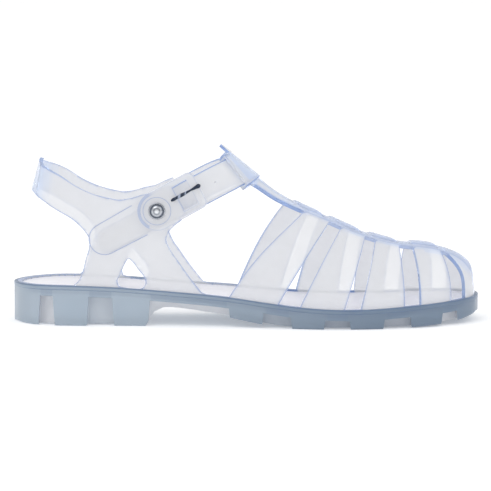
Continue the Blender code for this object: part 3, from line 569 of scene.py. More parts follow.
    def edge_x(self, row: tuple[float, ...], v: float, vs: float) -> float:
        """World x of a strap's edge at share v, with the spine's edge at vs.

        Args:
            row: Row of the edge table.
            v: Place round the section.
            vs: Place where the spine starts.

        Returns:
            World x of the edge.
        """
        foot_out, top_out, top_in, foot_in, bow_out, bow_in = row
        if abs(v) <= vs:
            return self.last.along(top_out + (top_in - top_out) * (v + vs) / (2 * vs))
        foot, top, bow = (foot_out, top_out, bow_out) if v < 0 else (foot_in, top_in, bow_in)
        rise = math.sin((1 - min(1.0, abs(v))) * math.pi / 2) / math.sin((1 - vs) * math.pi / 2)
        return self.last.along(foot + (top - foot) * rise ** bow)

    def line(self, place: float, foot_rows: int) -> list[Point]:
        """One line across the foot.

        Args:
            place: Counts the straps' edges from the rear.
            foot_rows: Rows between the sole and the spine.

        Returns:
            Pairs of share v and world x.
        """
        last_edge = len(self.edges) - 1
        index = min(int(place), last_edge)
        part, here = place - index, self.edges[index]
        if index == last_edge:
            front, blend = self.last.share(self.base.front), 1.0 - (1.0 - part) ** 2
            row = (*[h + (front - h) * blend for h in here[:4]], *here[4:])
        else:
            row = tuple(h + (n - h) * part for h, n in zip(here, self.edges[index + 1]))
        spine = self.spine_shares(self.last.along((row[1] + row[2]) / 2))
        vs = spine[-1]
        side = [1.0 - (1.0 - vs) * k / foot_rows for k in range(foot_rows)]
        shares = [-2.0, *[-v for v in side], *spine, *side[::-1], 2.0]
        return [(v, self.edge_x(row, v, vs)) for v in shares]

    def wall_y(self, x: float, z: float, side: Side) -> float:
        """Side wall's y beside the heel and the ankle.

        Args:
            x: World x.
            z: World height.
            side: Side of the foot.

        Returns:
            World y of the wall.
        """
        last = self.last
        low, high = (share * last.back for share in self.taper_heights)
        taper = last.arm_taper * ease(x, *map(last.along, self.taper_places)) * ease(z, low, high)
        swell = last.ankle_ease * ease(z, last.heel_rim, high)
        return self.base.y(x, side) + side * (swell - taper)

    def quarter(self, run: float, z: float) -> Vector:
        """Point of the quarter's wall at a distance round the outline and a height.

        Args:
            run: Length along the heel's curve.
            z: World height.

        Returns:
            Point of the wall's middle.
        """
        last = self.last
        (x, y), inward = self.base.at(run)
        rise = max(0.0, z - last.heel_rim) / (last.back - last.heel_rim)
        lean = last.heel_lean * rise ** 1.6 * max(0.0, inward[0]) ** 1.5
        side = Side.OUTER if run < 0 else Side.INNER
        shift = self.wall_y(x, z, side) - self.base.y(x, side)
        return Vector((x + inward[0] * lean, y + inward[1] * lean + shift * (1.0 - abs(inward[0])), z))

    def quarter_run(self, x: float, z: float, side: Side) -> float:
        """Distance round the outline at which the quarter has world x."""
        runs = np.linspace(0.0, self.base.runs[side][-1] * 0.6, 160) * side
        return float(np.interp(x, [self.quarter(r, z).x for r in runs], runs))

    def strap_z(self, x: float) -> float:
        """Height of the ankle strap's middle beside the ankle."""
        place = self.strap_place
        return place[1] * self.last.back + (x - self.last.along(place[0])) * math.tan(self.slope)

    def strap_middle(self, t: float) -> Vector:
        """Middle of the ankle strap, t from 0 to pi round the ankle's front.

        Args:
            t: Turn along the strap's path.

        Returns:
            Point in the strap's middle.
        """
        last = self.last
        turn = min(max(t, 0.0), math.pi)
        bow = (self.front_x - self.arc_start) * math.sin(turn)
        x = self.arc_start + bow - abs(t - turn) * last.ball_width / 2
        side_x = min(x, self.arc_start)
        side_z = self.strap_z(side_x)
        outer = self.wall_y(side_x, side_z, Side.OUTER) + last.wall / 2 + last.gap + self.strap_wall / 2
        inner = self.wall_y(side_x, side_z, Side.INNER)
        y = (outer + inner) / 2 - (inner - outer) / 2 * math.cos(turn)
        return Vector((x, y, self.strap_z(x) - self.dip * math.sin(turn) ** 2))

    def strap_frame(self, t: float) -> tuple[Vector, Vector, Vector]:
        """Middle, direction across and outward normal of the ankle strap.

        Args:
            t: Turn along the strap's path.

        Returns:
            Middle, direction across and outward normal.
        """
        tangent = (self.strap_middle(t + 0.01) - self.strap_middle(t - 0.01)).normalized()
        turn = min(max(t, 0.0), math.pi)
        lean = self.slope + (math.pi / 2 - self.tbar_slope - self.slope) * math.sin(turn)
        across = Vector((-math.sin(lean), 0.0, math.cos(lean)))
        across = (across - tangent * across.dot(tangent)).normalized()
        return self.strap_middle(t), across, tangent.cross(across).normalized()

    def strap_t(self, x: float) -> float:
        """Value of t beside the outer quarter at world x."""
        return -(self.arc_start - x) / (self.last.ball_width / 2)

    def local(self, a: float, b: float) -> Point:
        """World x and height at a along and b across the buckle from the stud."""
        x = self.last.along(self.stud[0]) + a * math.cos(self.slope) - b * math.sin(self.slope)
        return x, self.stud[1] * self.last.back + a * math.sin(self.slope) + b * math.cos(self.slope)

    def beside(self, a: float, b: float, level: float) -> Vector:
        """World point beside the outer quarter, level outside its middle."""
        x, z = self.local(a, b)
        return Vector((x, self.wall_y(x, z, Side.OUTER) - level, z))

    def side_view(self, rows: Rows, side: Side) -> list[Point]:
        """Shares in side view as points of the quarter's flat pattern."""
        last = self.last
        return [(self.quarter_run(last.along(a), up * last.back, side), up * last.back) for a, up in rows]

    def rim_run(self, share: float, side: Side) -> Point:
        """Point of the flat pattern on the rim's top."""
        x = self.last.along(share)
        return self.base.run(x, side), self.last.rim_z(x)


def circle(radius: float, count: int) -> list[Point]:
    """Points round a circle."""
    turns = np.linspace(0, 2 * math.pi, count, endpoint=False)
    return [(radius * math.cos(t), radius * math.sin(t)) for t in turns]


def smooth_line(points: list[Point], steps: int) -> list[Point]:
    """Open smooth curve through points.

    Args:
        points: Points on the curve.
        steps: Parts between two of them.

    Returns:
        The finer points.
    """
    array = np.array(points)
    run = np.concatenate(([0.0], np.cumsum(np.linalg.norm(np.diff(array, axis=0), axis=1))))
    at = np.interp(np.arange((len(points) - 1) * steps + 1) / steps, np.arange(len(points)), run)
    return [(through(run, array[:, 0], t), through(run, array[:, 1], t)) for t in at]


def inside(loop: np.ndarray, spots: np.ndarray) -> np.ndarray:
    """Which spots lie in a closed loop.

    Args:
        loop: Outline points.
        spots: Points to test.

    Returns:
        True for each point inside.
    """
    hit = np.zeros(len(spots), bool)
    for (x0, y0), (x1, y1) in zip(loop, np.roll(loop, -1, axis=0)):
        cross = (y0 > spots[:, 1]) != (y1 > spots[:, 1])
        if y0 != y1:
            hit ^= cross & (spots[:, 0] < (x1 - x0) * (spots[:, 1] - y0) / (y1 - y0) + x0)
    return hit


def reach_of(loop: np.ndarray, spots: np.ndarray) -> np.ndarray:
    """Distance of spots from a closed loop.

    Args:
        loop: Outline points.
        spots: Points to test.

    Returns:
        Distance to the outline for each point.
    """
    ends = np.roll(loop, -1, axis=0) - loop
    best = np.full(len(spots), np.inf)
    for start, edge in zip(loop, ends):
        t = np.clip((spots - start) @ edge / max(edge @ edge, 1e-18), 0.0, 1.0)
        best = np.minimum(best, np.linalg.norm(start + t[:, None] * edge - spots, axis=1))
    return best


def sheet(bm: bmesh.types.BMesh, outer: list[Point], holes: list[list[Point]], step: float,
          place: Callable[[float, float], Vector]) -> None:
    """Add a flat pattern with holes as an even net of triangles.

    Args:
        bm: Mesh to add to.
        outer: Outer loop.
        holes: Loops of the holes.
        step: Size of the triangles.
        place: Turns a pattern point into a world point.
    """
    loops = [np.array(loop) for loop in (outer, *holes)]
    low, high = loops[0].min(axis=0), loops[0].max(axis=0)
    rows = []
    for i, u in enumerate(np.arange(low[0] + step / 2, high[0], step)):
        rows.extend((u, v) for v in np.arange(low[1] + step / 2 * (i % 2), high[1], step))
    spots = np.array(rows)
    kept = inside(loops[0], spots)
    for number, loop in enumerate(loops):
        kept &= reach_of(loop, spots) > step * 0.55
        if number:
            kept &= ~inside(loop, spots)
    points, edges = [], []
    for loop in loops:
        first, n = len(points), len(loop)
        points.extend(loop)
        edges.extend((first + i, first + (i + 1) % n) for i in range(n))
    points.extend(spots[kept])
    flat, _, faces, _, _, _ = delaunay_2d_cdt([Vector(p) / MM for p in points], edges, [], 0, 1e-7)
    pattern = np.array([tuple(p) for p in flat]) * MM
    centres = np.array([pattern[list(f)].mean(axis=0) for f in faces])
    kept = inside(loops[0], centres)
    for loop in loops[1:]:
        kept &= ~inside(loop, centres)
    verts = [bm.verts.new(place(*p)) for p in pattern]
    for face, keep in zip(faces, kept):
        if keep:
            bm.faces.new([verts[i] for i in face])
    bmesh.ops.delete(bm, geom=[v for v in verts if not v.link_faces], context="VERTS")


def net(rows: list[list[Vector]], closed: bool = False, marks: tuple[float, ...] = ()) -> bmesh.types.BMesh:
    """Grid laid over rows of points.

    Args:
        rows: Rows with the same number of points.
        closed: Join each row's end to its start and fill both ends.
        marks: How much each of a row's points lies on an edge.

    Returns:
        The mesh.
    """
    bm = bmesh.new()
    across = len(rows[0]) - (0 if closed else 1)
    edge = bm.verts.layers.float.new("edge")
    bmesh.ops.create_grid(bm, x_segments=len(rows) - 1, y_segments=across, size=1.0)
    for vert in bm.verts:
        i = round((vert.co.x + 1.0) / 2.0 * (len(rows) - 1))
        j = round((vert.co.y + 1.0) / 2.0 * across)
        vert.co = rows[i][j % len(rows[i])]
        if marks:
            vert[edge] = marks[j % len(rows[i])]
    if closed:
        bmesh.ops.remove_doubles(bm, verts=bm.verts, dist=1e-7)
        bmesh.ops.holes_fill(bm, edges=[e for e in bm.edges if e.is_boundary], sides=0)
    bmesh.ops.recalc_face_normals(bm, faces=bm.faces)
    return bm


def put(name: str, bm: bmesh.types.BMesh) -> bpy.types.Object:
    """Make an object from a mesh and link it.

    Args:
        name: Name to give.
        bm: Mesh, which is freed.

    Returns:
        The linked object.
    """
    mesh = bpy.data.meshes.new(name)
    bmesh.ops.recalc_face_normals(bm, faces=bm.faces)
    bm.to_mesh(mesh)
    bm.free()
    obj = bpy.data.objects.new(name, mesh)
    bpy.context.scene.collection.objects.link(obj)
    return obj


def boolean(obj: bpy.types.Object, other: bpy.types.Object, operation: str) -> None:
    """Add a Boolean with a helper object.

    Args:
        obj: Piece.
        other: Helper object.
        operation: Kind of Boolean.
    """
    modifier = obj.modifiers.new(operation.title(), "BOOLEAN")
    modifier.operation = operation
    modifier.solver = "EXACT"
    modifier.object = other


def settle(obj: bpy.types.Object, helpers: list[bpy.types.Object], width: float) -> None:
    """Apply the modifiers, remove the helpers and round the sharp edges.

    Args:
        obj: Piece to finish.
        helpers: Objects its Booleans use.
        width: Width of the rounded edges, 0 for none.
    """
    graph = bpy.context.evaluated_depsgraph_get()
    mesh = bpy.data.meshes.new_from_object(obj.evaluated_get(graph))
    obj.modifiers.clear()
    obj.data = mesh
    for helper in helpers:
        bpy.data.objects.remove(helper, do_unlink=True)
    if width:
        bm = bmesh.new()
        bm.from_mesh(mesh)
        sharp = [e for e in bm.edges if len(e.link_faces) == 2 and e.calc_face_angle() > math.radians(40.0)]
        bmesh.ops.bevel(bm, geom=sharp, offset=width, offset_type="OFFSET", affect="EDGES", segments=2,
                        profile=0.5, material=-1, clamp_overlap=True)
        bm.to_mesh(mesh)
        bm.free()
    mesh.shade_smooth()
    mesh.set_sharp_from_angle(angle=math.radians(50.0))


class Marks:
    """Edge marks of several pieces, given back to the piece that they become."""

    def __init__(self, pieces: list[bpy.types.Object]) -> None:
        """Remember the marks of every point.

        Args:
            pieces: Pieces whose marks are kept.
        """
        self.values = []
        spots = []
        for piece in pieces:
            spots.extend(vert.co.copy() for vert in piece.data.vertices)
            self.values.extend(item.value for item in piece.data.attributes["edge"].data)
        self.points = KDTree(len(spots))
        for number, spot in enumerate(spots):
            self.points.insert(spot, number)
        self.points.balance()

    def give(self, obj: bpy.types.Object) -> None:
        """Write the marks of the nearest remembered points.

        Args:
            obj: Piece.
        """
        mesh = obj.data
        if "edge" in mesh.attributes:
            mesh.attributes.remove(mesh.attributes["edge"])
        data = mesh.attributes.new("edge", "FLOAT", "POINT")
        for vert in mesh.vertices:
            _, number, distance = self.points.find(vert.co)
            data.data[vert.index].value = self.values[number] if distance < 0.02 * MM else 0.0


def paint(obj: bpy.types.Object, layer: str, rule: Callable[[Vector, Vector], float]) -> None:
    """Fill a mark of the faces.

    Args:
        obj: Piece to mark.
        layer: Name that its material reads.
        rule: Turns a face's centre and normal into the mark.
    """
    mesh = obj.data
    if layer in mesh.attributes:
        mesh.attributes.remove(mesh.attributes[layer])
    data = mesh.attributes.new(layer, "FLOAT", "FACE")
    for polygon in mesh.polygons:
        data.data[polygon.index].value = rule(polygon.center, polygon.normal)


def dress(obj: bpy.types.Object, material: bpy.types.Material, node: str) -> None:
    """Give a piece its finish and let it stand for its CAD node.

    Args:
        obj: Piece.
        material: Finish.
        node: CAD node that the piece stands for.
    """
    obj.data.materials.clear()
    obj.data.materials.append(material)
    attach(obj, "root")
    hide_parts(node)
    LOG.info("%s: %d triangles", obj.name, sum(len(p.vertices) - 2 for p in obj.data.polygons))


@dataclass
class Sole:
    """Tinted outsole with rim, seat, side recesses and lugs."""

    last: Last
    lip: float = 2.0 * MM
    proud: float = 0.5 * MM
    chamfer: float = 1.0 * MM
    band: float = 5.8 * MM
    recess: float = 6.0 * MM
    lug: float = 0.5 * MM
    line: float = 0.7 * MM
    taper: float = 0.7 * MM
    end: float = 10.0 * MM
    round_edge: float = 0.35 * MM
    count: int = 130
    rim_dark: float = 0.85
    step_dark: float = 0.6
    wall_dark: float = 0.4
    band_dark: float = 0.2
    paleness: tuple[float, ...] = (1.0, 0.45, 1.0, 0.4, 0.45, 0.6, 1.0)
    windows: tuple[Point, ...] = ((0.060, 0.093), (0.163, 0.219), (0.293, 0.466), (0.533, 0.596),
                                  (0.662, 0.719), (0.787, 0.848), (0.912, 0.949))

    def stations(self, outline: Outline, count: int) -> list[float]:
        """World x values from heel to toe, close together at the round ends."""
        middle, half = (outline.front + outline.back) / 2, (outline.front - outline.back) / 2
        return [middle - half * math.cos(t) for t in np.linspace(0.035, math.pi - 0.035, count)]

    def slab(self, inset: float, low: Callable[[float], float], high: Callable[[float], float],
             count: int = 0, lip: bool = False) -> bmesh.types.BMesh:
        """Solid with the sole's plan.

        Args:
            inset: Distance inside the sole's edge.
            low: Height of the bottom at world x.
            high: Height of the top at world x.
            count: Stations along the length, 0 for the sole's own.
            lip: Give the side a rim and a chamfered foot.

        Returns:
            The mesh.
        """
        outline = Outline(self.last, inset)
        step = Outline(self.last, inset + self.proud)
        foot = Outline(self.last, inset + self.proud + self.chamfer)
        rows = []
        for x in self.stations(outline, count or self.count):
            bottom, top, ring = low(x), high(x), []
            narrow = (outline.y(x, Side.INNER) - outline.y(x, Side.OUTER)) / 2
            for side in Side:
                y = outline.y(x, side)
                edge = [(y, bottom), (y, top)]
                if lip:
                    y_step = y - side * min(abs(y - step.y(x, side)), 0.3 * narrow)
                    y_foot = y - side * min(abs(y - foot.y(x, side)), 0.6 * narrow)
                    edge = [(y_foot, bottom), (y_step, bottom + self.chamfer),
                            (y_step, top - self.lip - self.proud), (y, top - self.lip),
                            (y, top - self.line), (y, top)]
                ring.extend(edge[::-1] if side < 0 else edge)
            rows.append([Vector((x, y, z)) for y, z in ring])
        return net(rows, closed=True)

    def window(self, number: int, start: float, end: float) -> tuple[bpy.types.Object, bpy.types.Object]:
        """Cutter of one recess and the core that it leaves.

        Args:
            number: The recess's number from the heel.
            start: Its rear end as a share of the length.
            end: Its front end.

        Returns:
            The cutter and the core.
        """
        last, reach, rows = self.last, self.last.ball_width, []
        for a in np.linspace(start, end, 24):
            x = last.along(a)
            top = last.rim_z(x) - self.band
            lean = self.taper * (1.0 - 2.0 * (a - start) / (end - start))
            low, high = Vector((x - lean, reach, -self.recess)), Vector((x + lean, reach, top))
            flip = Vector((1.0, -1.0, 1.0))
            rows.append([low * flip, low, high, high * flip])
        cutter = put(f"recess_{number}", net(rows, closed=True))
        core = put(f"core_{number}", self.slab(self.recess, lambda x: last.under_z(x) + self.lug,
                                               lambda x: last.back, 70))
        boolean(cutter, core, "DIFFERENCE")
        return cutter, core

    def build(self, material: bpy.types.Material) -> bpy.types.Object:
        """Make the outsole.

        Args:
            material: Finish.

        Returns:
            The piece.
        """
        last = self.last
        sole = put("outsole", self.slab(0.0, last.under_z, last.rim_z, lip=True))
        seat = put("seat", self.slab(last.rim, lambda x: last.rim_z(x) - last.seat, lambda x: last.back))
        boolean(sole, seat, "DIFFERENCE")
        helpers = [seat]
        for number, (start, end) in enumerate(self.windows):
            pair = self.window(number, start, end)
            boolean(sole, pair[0], "DIFFERENCE")
            helpers.extend(pair)
        settle(sole, helpers, self.round_edge)
        inner = Outline(last, self.recess * 0.6)

        def rim_mark(centre: Vector, normal: Vector) -> float:
            """Dark line along the rim's top and over the lip's step.

            Args:
                centre: Middle of a face.
                normal: Direction of the face.

            Returns:
                Share of the dark line.
            """
            below = last.rim_z(centre.x) - centre.z
            if below < self.line:
                return self.rim_dark
            if self.lip < below < self.lip + self.proud * 1.4:
                return self.step_dark
            if below < self.band:
                return self.band_dark
            middle = inner.back + self.end < centre.x < inner.front - self.end
            return self.wall_dark if middle and abs(normal.x) > 0.8 else 0.0

        def pale_mark(centre: Vector, normal: Vector) -> float:
            """Paler walls of the recesses.

            Args:
                centre: Middle of a face.
                normal: Direction of the face.

            Returns:
                Share of the pale tone.
            """
            deep = inner.y(centre.x, Side.OUTER) < centre.y < inner.y(centre.x, Side.INNER)
            below = last.rim_z(centre.x) - centre.z
            if not deep or below < self.band * 0.9 or abs(normal.z) > 0.7:
                return 0.0
            share = last.share(centre.x)
            near = min(range(len(self.windows)), key=lambda k: abs(sum(self.windows[k]) / 2 - share))
            return self.paleness[near]

        paint(sole, "edge", rim_mark)
        paint(sole, "pale", pale_mark)
        dress(sole, material, "sole")
        return sole


@dataclass
class Footbed:
    """Milky footbed in the seat of the sole."""

    sole: Sole
    play: float = 0.6 * MM
    drop: float = 0.9 * MM
    round_edge: float = 0.5 * MM

    def build(self, material: bpy.types.Material) -> bpy.types.Object:
        """Make the footbed.

        Args:
            material: Finish.

        Returns:
            The piece.
        """
        last = self.sole.last
        inset = last.rim + last.gap + last.wall + self.play
        bed = put("footbed", self.sole.slab(inset, lambda x: last.rim_z(x) - last.seat + last.gap,
                                            lambda x: last.rim_z(x) - self.drop, 110))
        settle(bed, [], self.round_edge)
        dress(bed, material, "insole")
        return bed


@dataclass
class Upper:
    """Clear caged upper with T-bar loop, tongue and ankle strap, moulded in one."""

    form: Form
    foot_rows: int = 14
    spine_rows: int = 7
    links: tuple[int, ...] = (2, 3, 4)
    slots: tuple[int, ...] = (1, 4)
    steps: tuple[int, ...] = (8, 3, 8, 3, 8, 3, 8, 3, 18)
    tbar_steps: int = 14
    tbar_width: float = 26.0 * MM
    pattern_step: float = 2.4 * MM
    back_strap: float = 17.0 * MM
    loop_span: float = 27.0 * MM
    loop_front: float = 1.5 * MM
    loop_back: float = 1.5 * MM
    loop_rail: float = 1.6 * MM
    tip_length: float = 7.4 * MM
    tip_wall: float = 1.6 * MM
    shank: float = 1.6 * MM
    toe_close: float = 0.999999
    line: float = 2.0 * MM
    hole: float = 0.7 * MM
    hole_turn: float = 0.36
    tongue_tip: float = 2.4 * MM
    tongue_root: float = 8.0 * MM
    loop_near: float = 20.0 * MM
    rear_bend: float = 20.0 * MM
    rear_from: float = 55.0 * MM
    marks: tuple[float, ...] = (1.0, 0.0, 0.0, 1.0, 1.0, 1.0, 1.0, 0.0, 0.0, 1.0, 1.0, 1.0)
    bar_marks: tuple[float, ...] = (1.0, 0.35, 0.95, 0.3, 0.95, 0.35, 1.0)
    band_shares: tuple[float, ...] = (0.455, 0.445, 0.435, 0.425, 0.415)
    arm_corners: Rows = ((9.0, -9.25), (12.5, -9.2), (12.9, -5.0), (12.9, 0.0), (12.9, 5.0), (12.5, 8.8),
                         (8.0, 9.3), (2.0, 9.6))

    def ring(self, t: float, low: float, high: float, inner: float, outer: float) -> list[Vector]:
        """Rectangle across the ankle strap's path.

        Args:
            t: Place on the path.
            low: Lower edge across the strap.
            high: Upper edge.
            inner: Inner face along the normal.
            outer: Outer face.

        Returns:
            Its points, with the corners cut a little.
        """
        middle, across, normal = self.form.strap_frame(t)
        cut = min(0.35 * MM, (high - low) * 0.2, (outer - inner) * 0.2)
        rim = min(self.line, (high - low) * 0.3)
        corners = ((low + cut, inner), (low + rim, inner), (high - rim, inner), (high - cut, inner),
                   (high, inner + cut), (high, outer - cut), (high - cut, outer), (high - rim, outer),
                   (low + rim, outer), (low + cut, outer), (low, outer - cut), (low, inner + cut))
        return [middle + across * b + normal * n for b, n in corners]

    def strap(self) -> bpy.types.Object:
        """Ankle strap from its round end to the inner quarter.

        Returns:
            The strap.
        """
        form, last, rows = self.form, self.form.last, []
        tip, half, wall = form.tip_width / 2, form.strap_width / 2, form.strap_wall / 2
        start = last.along(form.tail_start)
        for turn in np.linspace(0.12, math.pi / 2, 12):
            t = form.strap_t(start + tip * (1 - math.cos(turn)) * math.cos(form.slope))
            rows.append(self.ring(t, -tip * math.sin(turn), tip * math.sin(turn), -wall, wall))
        wide = form.strap_t(last.along(form.strap_wide_from))
        for t in np.linspace(form.strap_t(start + tip), wide, 16)[1:]:
            here = tip + (half - tip) * ease(t, form.strap_t(last.along(form.strap_narrow_to)), wide)
            rows.append(self.ring(t, -here, here, -wall, wall))
        end = math.pi + (form.arc_start - last.along(form.strap_end)) / (last.ball_width / 2)
        for t in (*np.linspace(wide, 0.0, 5)[1:], *np.linspace(0.0, math.pi, 60)[1:],
                  *np.linspace(math.pi, end, 8)[1:]):
            rows.append(self.ring(t, -half, half, -wall, wall))
        return put("strap", net(rows, True, self.marks))

    def loop(self) -> tuple[bpy.types.Object, bpy.types.Object]:
        """The T-bar's loop and its slot.

        Returns:
            The loop's body and the cutter of its slot.
        """
        form = self.form
        ankle = form.wall_y(form.arc_start, form.strap_z(form.arc_start), Side.INNER)
        sweep = math.asin(self.loop_span / 2 / ankle)
        half, wall = form.strap_width / 2 + form.last.gap, form.strap_wall / 2 + form.last.gap
        turns = np.linspace(math.pi / 2 - sweep, math.pi / 2 + sweep, 26)
        body = put("loop", net([self.ring(t, -half - self.loop_rail, half + self.loop_rail,
                                          -wall - self.loop_back, wall + self.loop_front) for t in turns], True,
                               self.marks))
        longer = np.linspace(math.pi / 2 - sweep * 1.3, math.pi / 2 + sweep * 1.3, 36)
        slot = put("slot", net([self.ring(t, -half, half, -wall, wall) for t in longer], True, self.marks))
        return body, slot

    def tongue(self) -> bpy.types.Object:
        """Tongue above the loop.

        Returns:
            The tongue.
        """
        form = self.form
        middle, across, normal = form.strap_frame(math.pi / 2)
        start = form.strap_width / 2 + form.last.gap + self.loop_rail / 2
        level = form.strap_wall / 2 + form.last.gap + self.loop_front * 0.5
        thick, rows = self.tip_wall / 2, []
        for part in np.linspace(0.0, 1.0, 12):
            half = self.tongue_tip + (self.tongue_root - self.tongue_tip) * (1.0 - part ** 2.2)
            base = middle + across * (start + self.tip_length * part) + normal * level
            rows.append([base + Vector((0, s * half, 0)) + normal * (n * thick)
                         for n in (-1, 1) for s in (n, 0.7 * n, -0.7 * n, -n)])
        return put("tongue", net(rows, True, (1.0, 0.0, 0.0, 1.0, 1.0, 0.0, 0.0, 1.0)))

    def pinhole(self) -> bpy.types.Object:
        """Cutter of the spare hole in the strap.

        Returns:
            The cutter.
        """
        middle, across, normal = self.form.strap_frame(self.hole_turn)
        bm = bmesh.new()
        edge = bm.verts.layers.float.new("edge")
        turn = normal.to_track_quat("Z", "Y").to_matrix().to_4x4()
        bmesh.ops.create_cone(bm, cap_ends=True, segments=20, radius1=self.hole, radius2=self.hole, depth=8 * MM,
                              matrix=Matrix.Translation(middle) @ turn)
        for vert in bm.verts:
            vert[edge] = 1.0
        return put("pinhole", bm)

    def tint(self, centre: Vector, normal: Vector) -> float:
        """Bluer loop, spine and rear bend, where the wall is thick or seen along its face.

        Args:
            centre: Middle of a face.
            normal: Direction of the face.

        Returns:
            Share of the bluer tone.
        """
        form = self.form
        middle, across, _ = form.strap_frame(math.pi / 2)
        reach = form.strap_width / 2 + form.last.gap + self.loop_rail * 1.2
        from_loop = centre - middle
        near = abs(centre.y) < self.loop_span * 0.56 and from_loop.length < self.loop_near
        if near and abs(from_loop.dot(across)) < reach:
            return 0.8
        if centre.x < form.base.back + self.rear_bend and centre.z > self.rear_from:
            return 0.8 * ease(abs(normal.x), 0.55, 0.97)
        if centre.x > form.front_x and abs(centre.y) < form.spine * 0.6:
            return 0.55 * ease(centre.z, form.top_z(centre.x) - 7.0 * MM, form.top_z(centre.x) - 3.0 * MM)
        return 0.0

    def rail_x(self, y: float) -> float:
        """World x of the middle of the loop's lower rail at y.

        Args:
            y: World y.

        Returns:
            World x.
        """
        form = self.form
        low = -(form.strap_width / 2 + form.last.gap + self.loop_rail / 2)
        spots = []
        for t in np.linspace(0.6, math.pi - 0.6, 41):
            middle, across, normal = form.strap_frame(t)
            spots.append(middle + across * low + normal * (self.loop_front * 0.5))
        return float(np.interp(y, [p.y for p in spots], [p.x for p in spots]))

    def cage(self) -> bmesh.types.BMesh:
        """Middle surface over the foot: straps, slots, spine and toe cap.

        Returns:
            The mesh.
        """
        form, lines, kinds, parts = self.form, [], [], []
        for column, steps in enumerate(self.steps):
            for k in range(steps):
                lines.append(form.line(column + k / steps, self.foot_rows))
                kinds.append(column)
                parts.append(k / steps)
        lines.append(form.line(len(form.edges) - 1 + self.toe_close, self.foot_rows))
        spine = 1 + self.foot_rows
        rows = []
        for i, line in enumerate(lines):
            strap = i < len(kinds) and kinds[i] % 2 == 0 and kinds[i] < 8
            rise = form.link_rise * min(1.0, 2.2 * math.sin(math.pi * parts[i])) if strap else 0.0
            rows.append([form.vamp(x, v, rise if r - spine in self.links else 0.0)
                         for r, (v, x) in enumerate(line)])
        count = len(rows[0])
        bm = bmesh.new()
        bmesh.ops.create_grid(bm, x_segments=len(rows) - 1, y_segments=count - 1, size=1.0)
        edge, drop = bm.verts.layers.float.new("edge"), []
        for face in bm.faces:
            centre = face.calc_center_median()
            i = int((centre.x + 1.0) / 2.0 * (len(rows) - 1))
            r = int((centre.y + 1.0) / 2.0 * (count - 1))
            in_foot = 1 <= r < spine or spine + self.spine_rows - 1 <= r < count - 2
            in_slot = r - spine in self.slots and kinds[i] < 8
            if in_foot if kinds[i] % 2 else in_slot:
                drop.append(face)
        bmesh.ops.delete(bm, geom=drop, context="FACES")
        for vert in bm.verts:
            i = round((vert.co.x + 1.0) / 2.0 * (len(rows) - 1))
            r = round((vert.co.y + 1.0) / 2.0 * (count - 1))
            vert.co = rows[i][r]
            last_row = spine + self.spine_rows - 1
            vert[edge] = 0.88 if r in (spine, last_row) else 0.8 if spine < r < last_row else 0.0
        return bm

    def tbar(self) -> bmesh.types.BMesh:
        """Middle surface of the T-bar from the spine to the loop.

        Returns:
            The mesh.
        """
        form = self.form
        spine = 1 + self.foot_rows
        front = form.line(0.0, self.foot_rows)[spine: spine + self.spine_rows]
        rows = []
        for k in range(self.tbar_steps + 1):
            part, row = k / self.tbar_steps, []
            for v, x in front:
                end = form.vamp(x, v)
                y = end.y * (1 - part) + end.y * self.tbar_width / form.spine * part
                x_here = x + (self.rail_x(y) - x) * part
                half = y - form.vamp(x_here, 0.0).y
                point = form.vamp(x_here, math.copysign(form.spine_v(x_here, abs(half)), half))
                row.append(end if k == 0 else point)
            rows.append(row)
        return net(rows, marks=self.bar_marks)

    def pattern(self) -> tuple[list[Point], list[list[Point]]]:
        """Outer loop and holes of the quarters' flat pattern, with the lower band round the heel.

        Returns:
            The outer loop and the holes.
        """
        form, last, base = self.form, self.form.last, self.form.base
        ends = {Side.OUTER: form.edges[0][0], Side.INNER: form.edges[0][3]}
        runs = {side: base.run(last.along(share), side) for side, share in ends.items()}
        outer = []
        for run in np.linspace(runs[Side.OUTER], runs[Side.INNER], 161):
            outer.append((run, last.rim_z(base.at(run)[0][0]) - (last.seat - last.gap)))
        halves = {}
        for side in (Side.INNER, Side.OUTER):
            line = [(runs[side], last.rim_z(last.along(ends[side])))]
            line.extend(form.rim_run(a, side) for a in self.band_shares)
            line.extend(smooth_line(form.side_view(form.front, side), 5))
            for a, b in self.arm_corners:
                x, z = form.local(a * MM, b * MM)
                line.append((form.quarter_run(x, z, side), z))
            line.extend(smooth_line([*reversed(form.side_view(form.top, side)), (0.0, last.back)], 7)[:-1])
            halves[side] = line
        outer.extend(halves[Side.INNER])
        outer.append((0.0, last.back))
        outer.extend(reversed(halves[Side.OUTER]))
        rear = {side: form.side_view(form.rear, side) for side in Side}
        for side in Side:
            rear[side][0] = form.rim_run(form.rear[0][0], side)
        opening = smooth_line([*rear[Side.OUTER], (0.0, last.back - self.back_strap),
                               *reversed(rear[Side.INNER])], 6)
        for run in np.linspace(opening[-1][0], opening[0][0], 34)[1:-1]:
            opening.append((run, last.rim_z(base.at(run)[0][0])))
        holes = [opening]
        for side in Side:
            line = form.side_view(form.triangle, side)
            for end in (0, -1):
                run, z = form.rim_run(form.triangle[end][0], side)
                line[end] = (run, z + 0.5 * MM)
            holes.append(smooth_line([*line, line[0]], 3)[:-1])
        hole = []
        for a, b in circle(self.shank + last.gap, 24):
            x, z = form.local(a, b)
            hole.append((form.quarter_run(x, z, Side.OUTER), z))
        return outer, [*holes, hole]

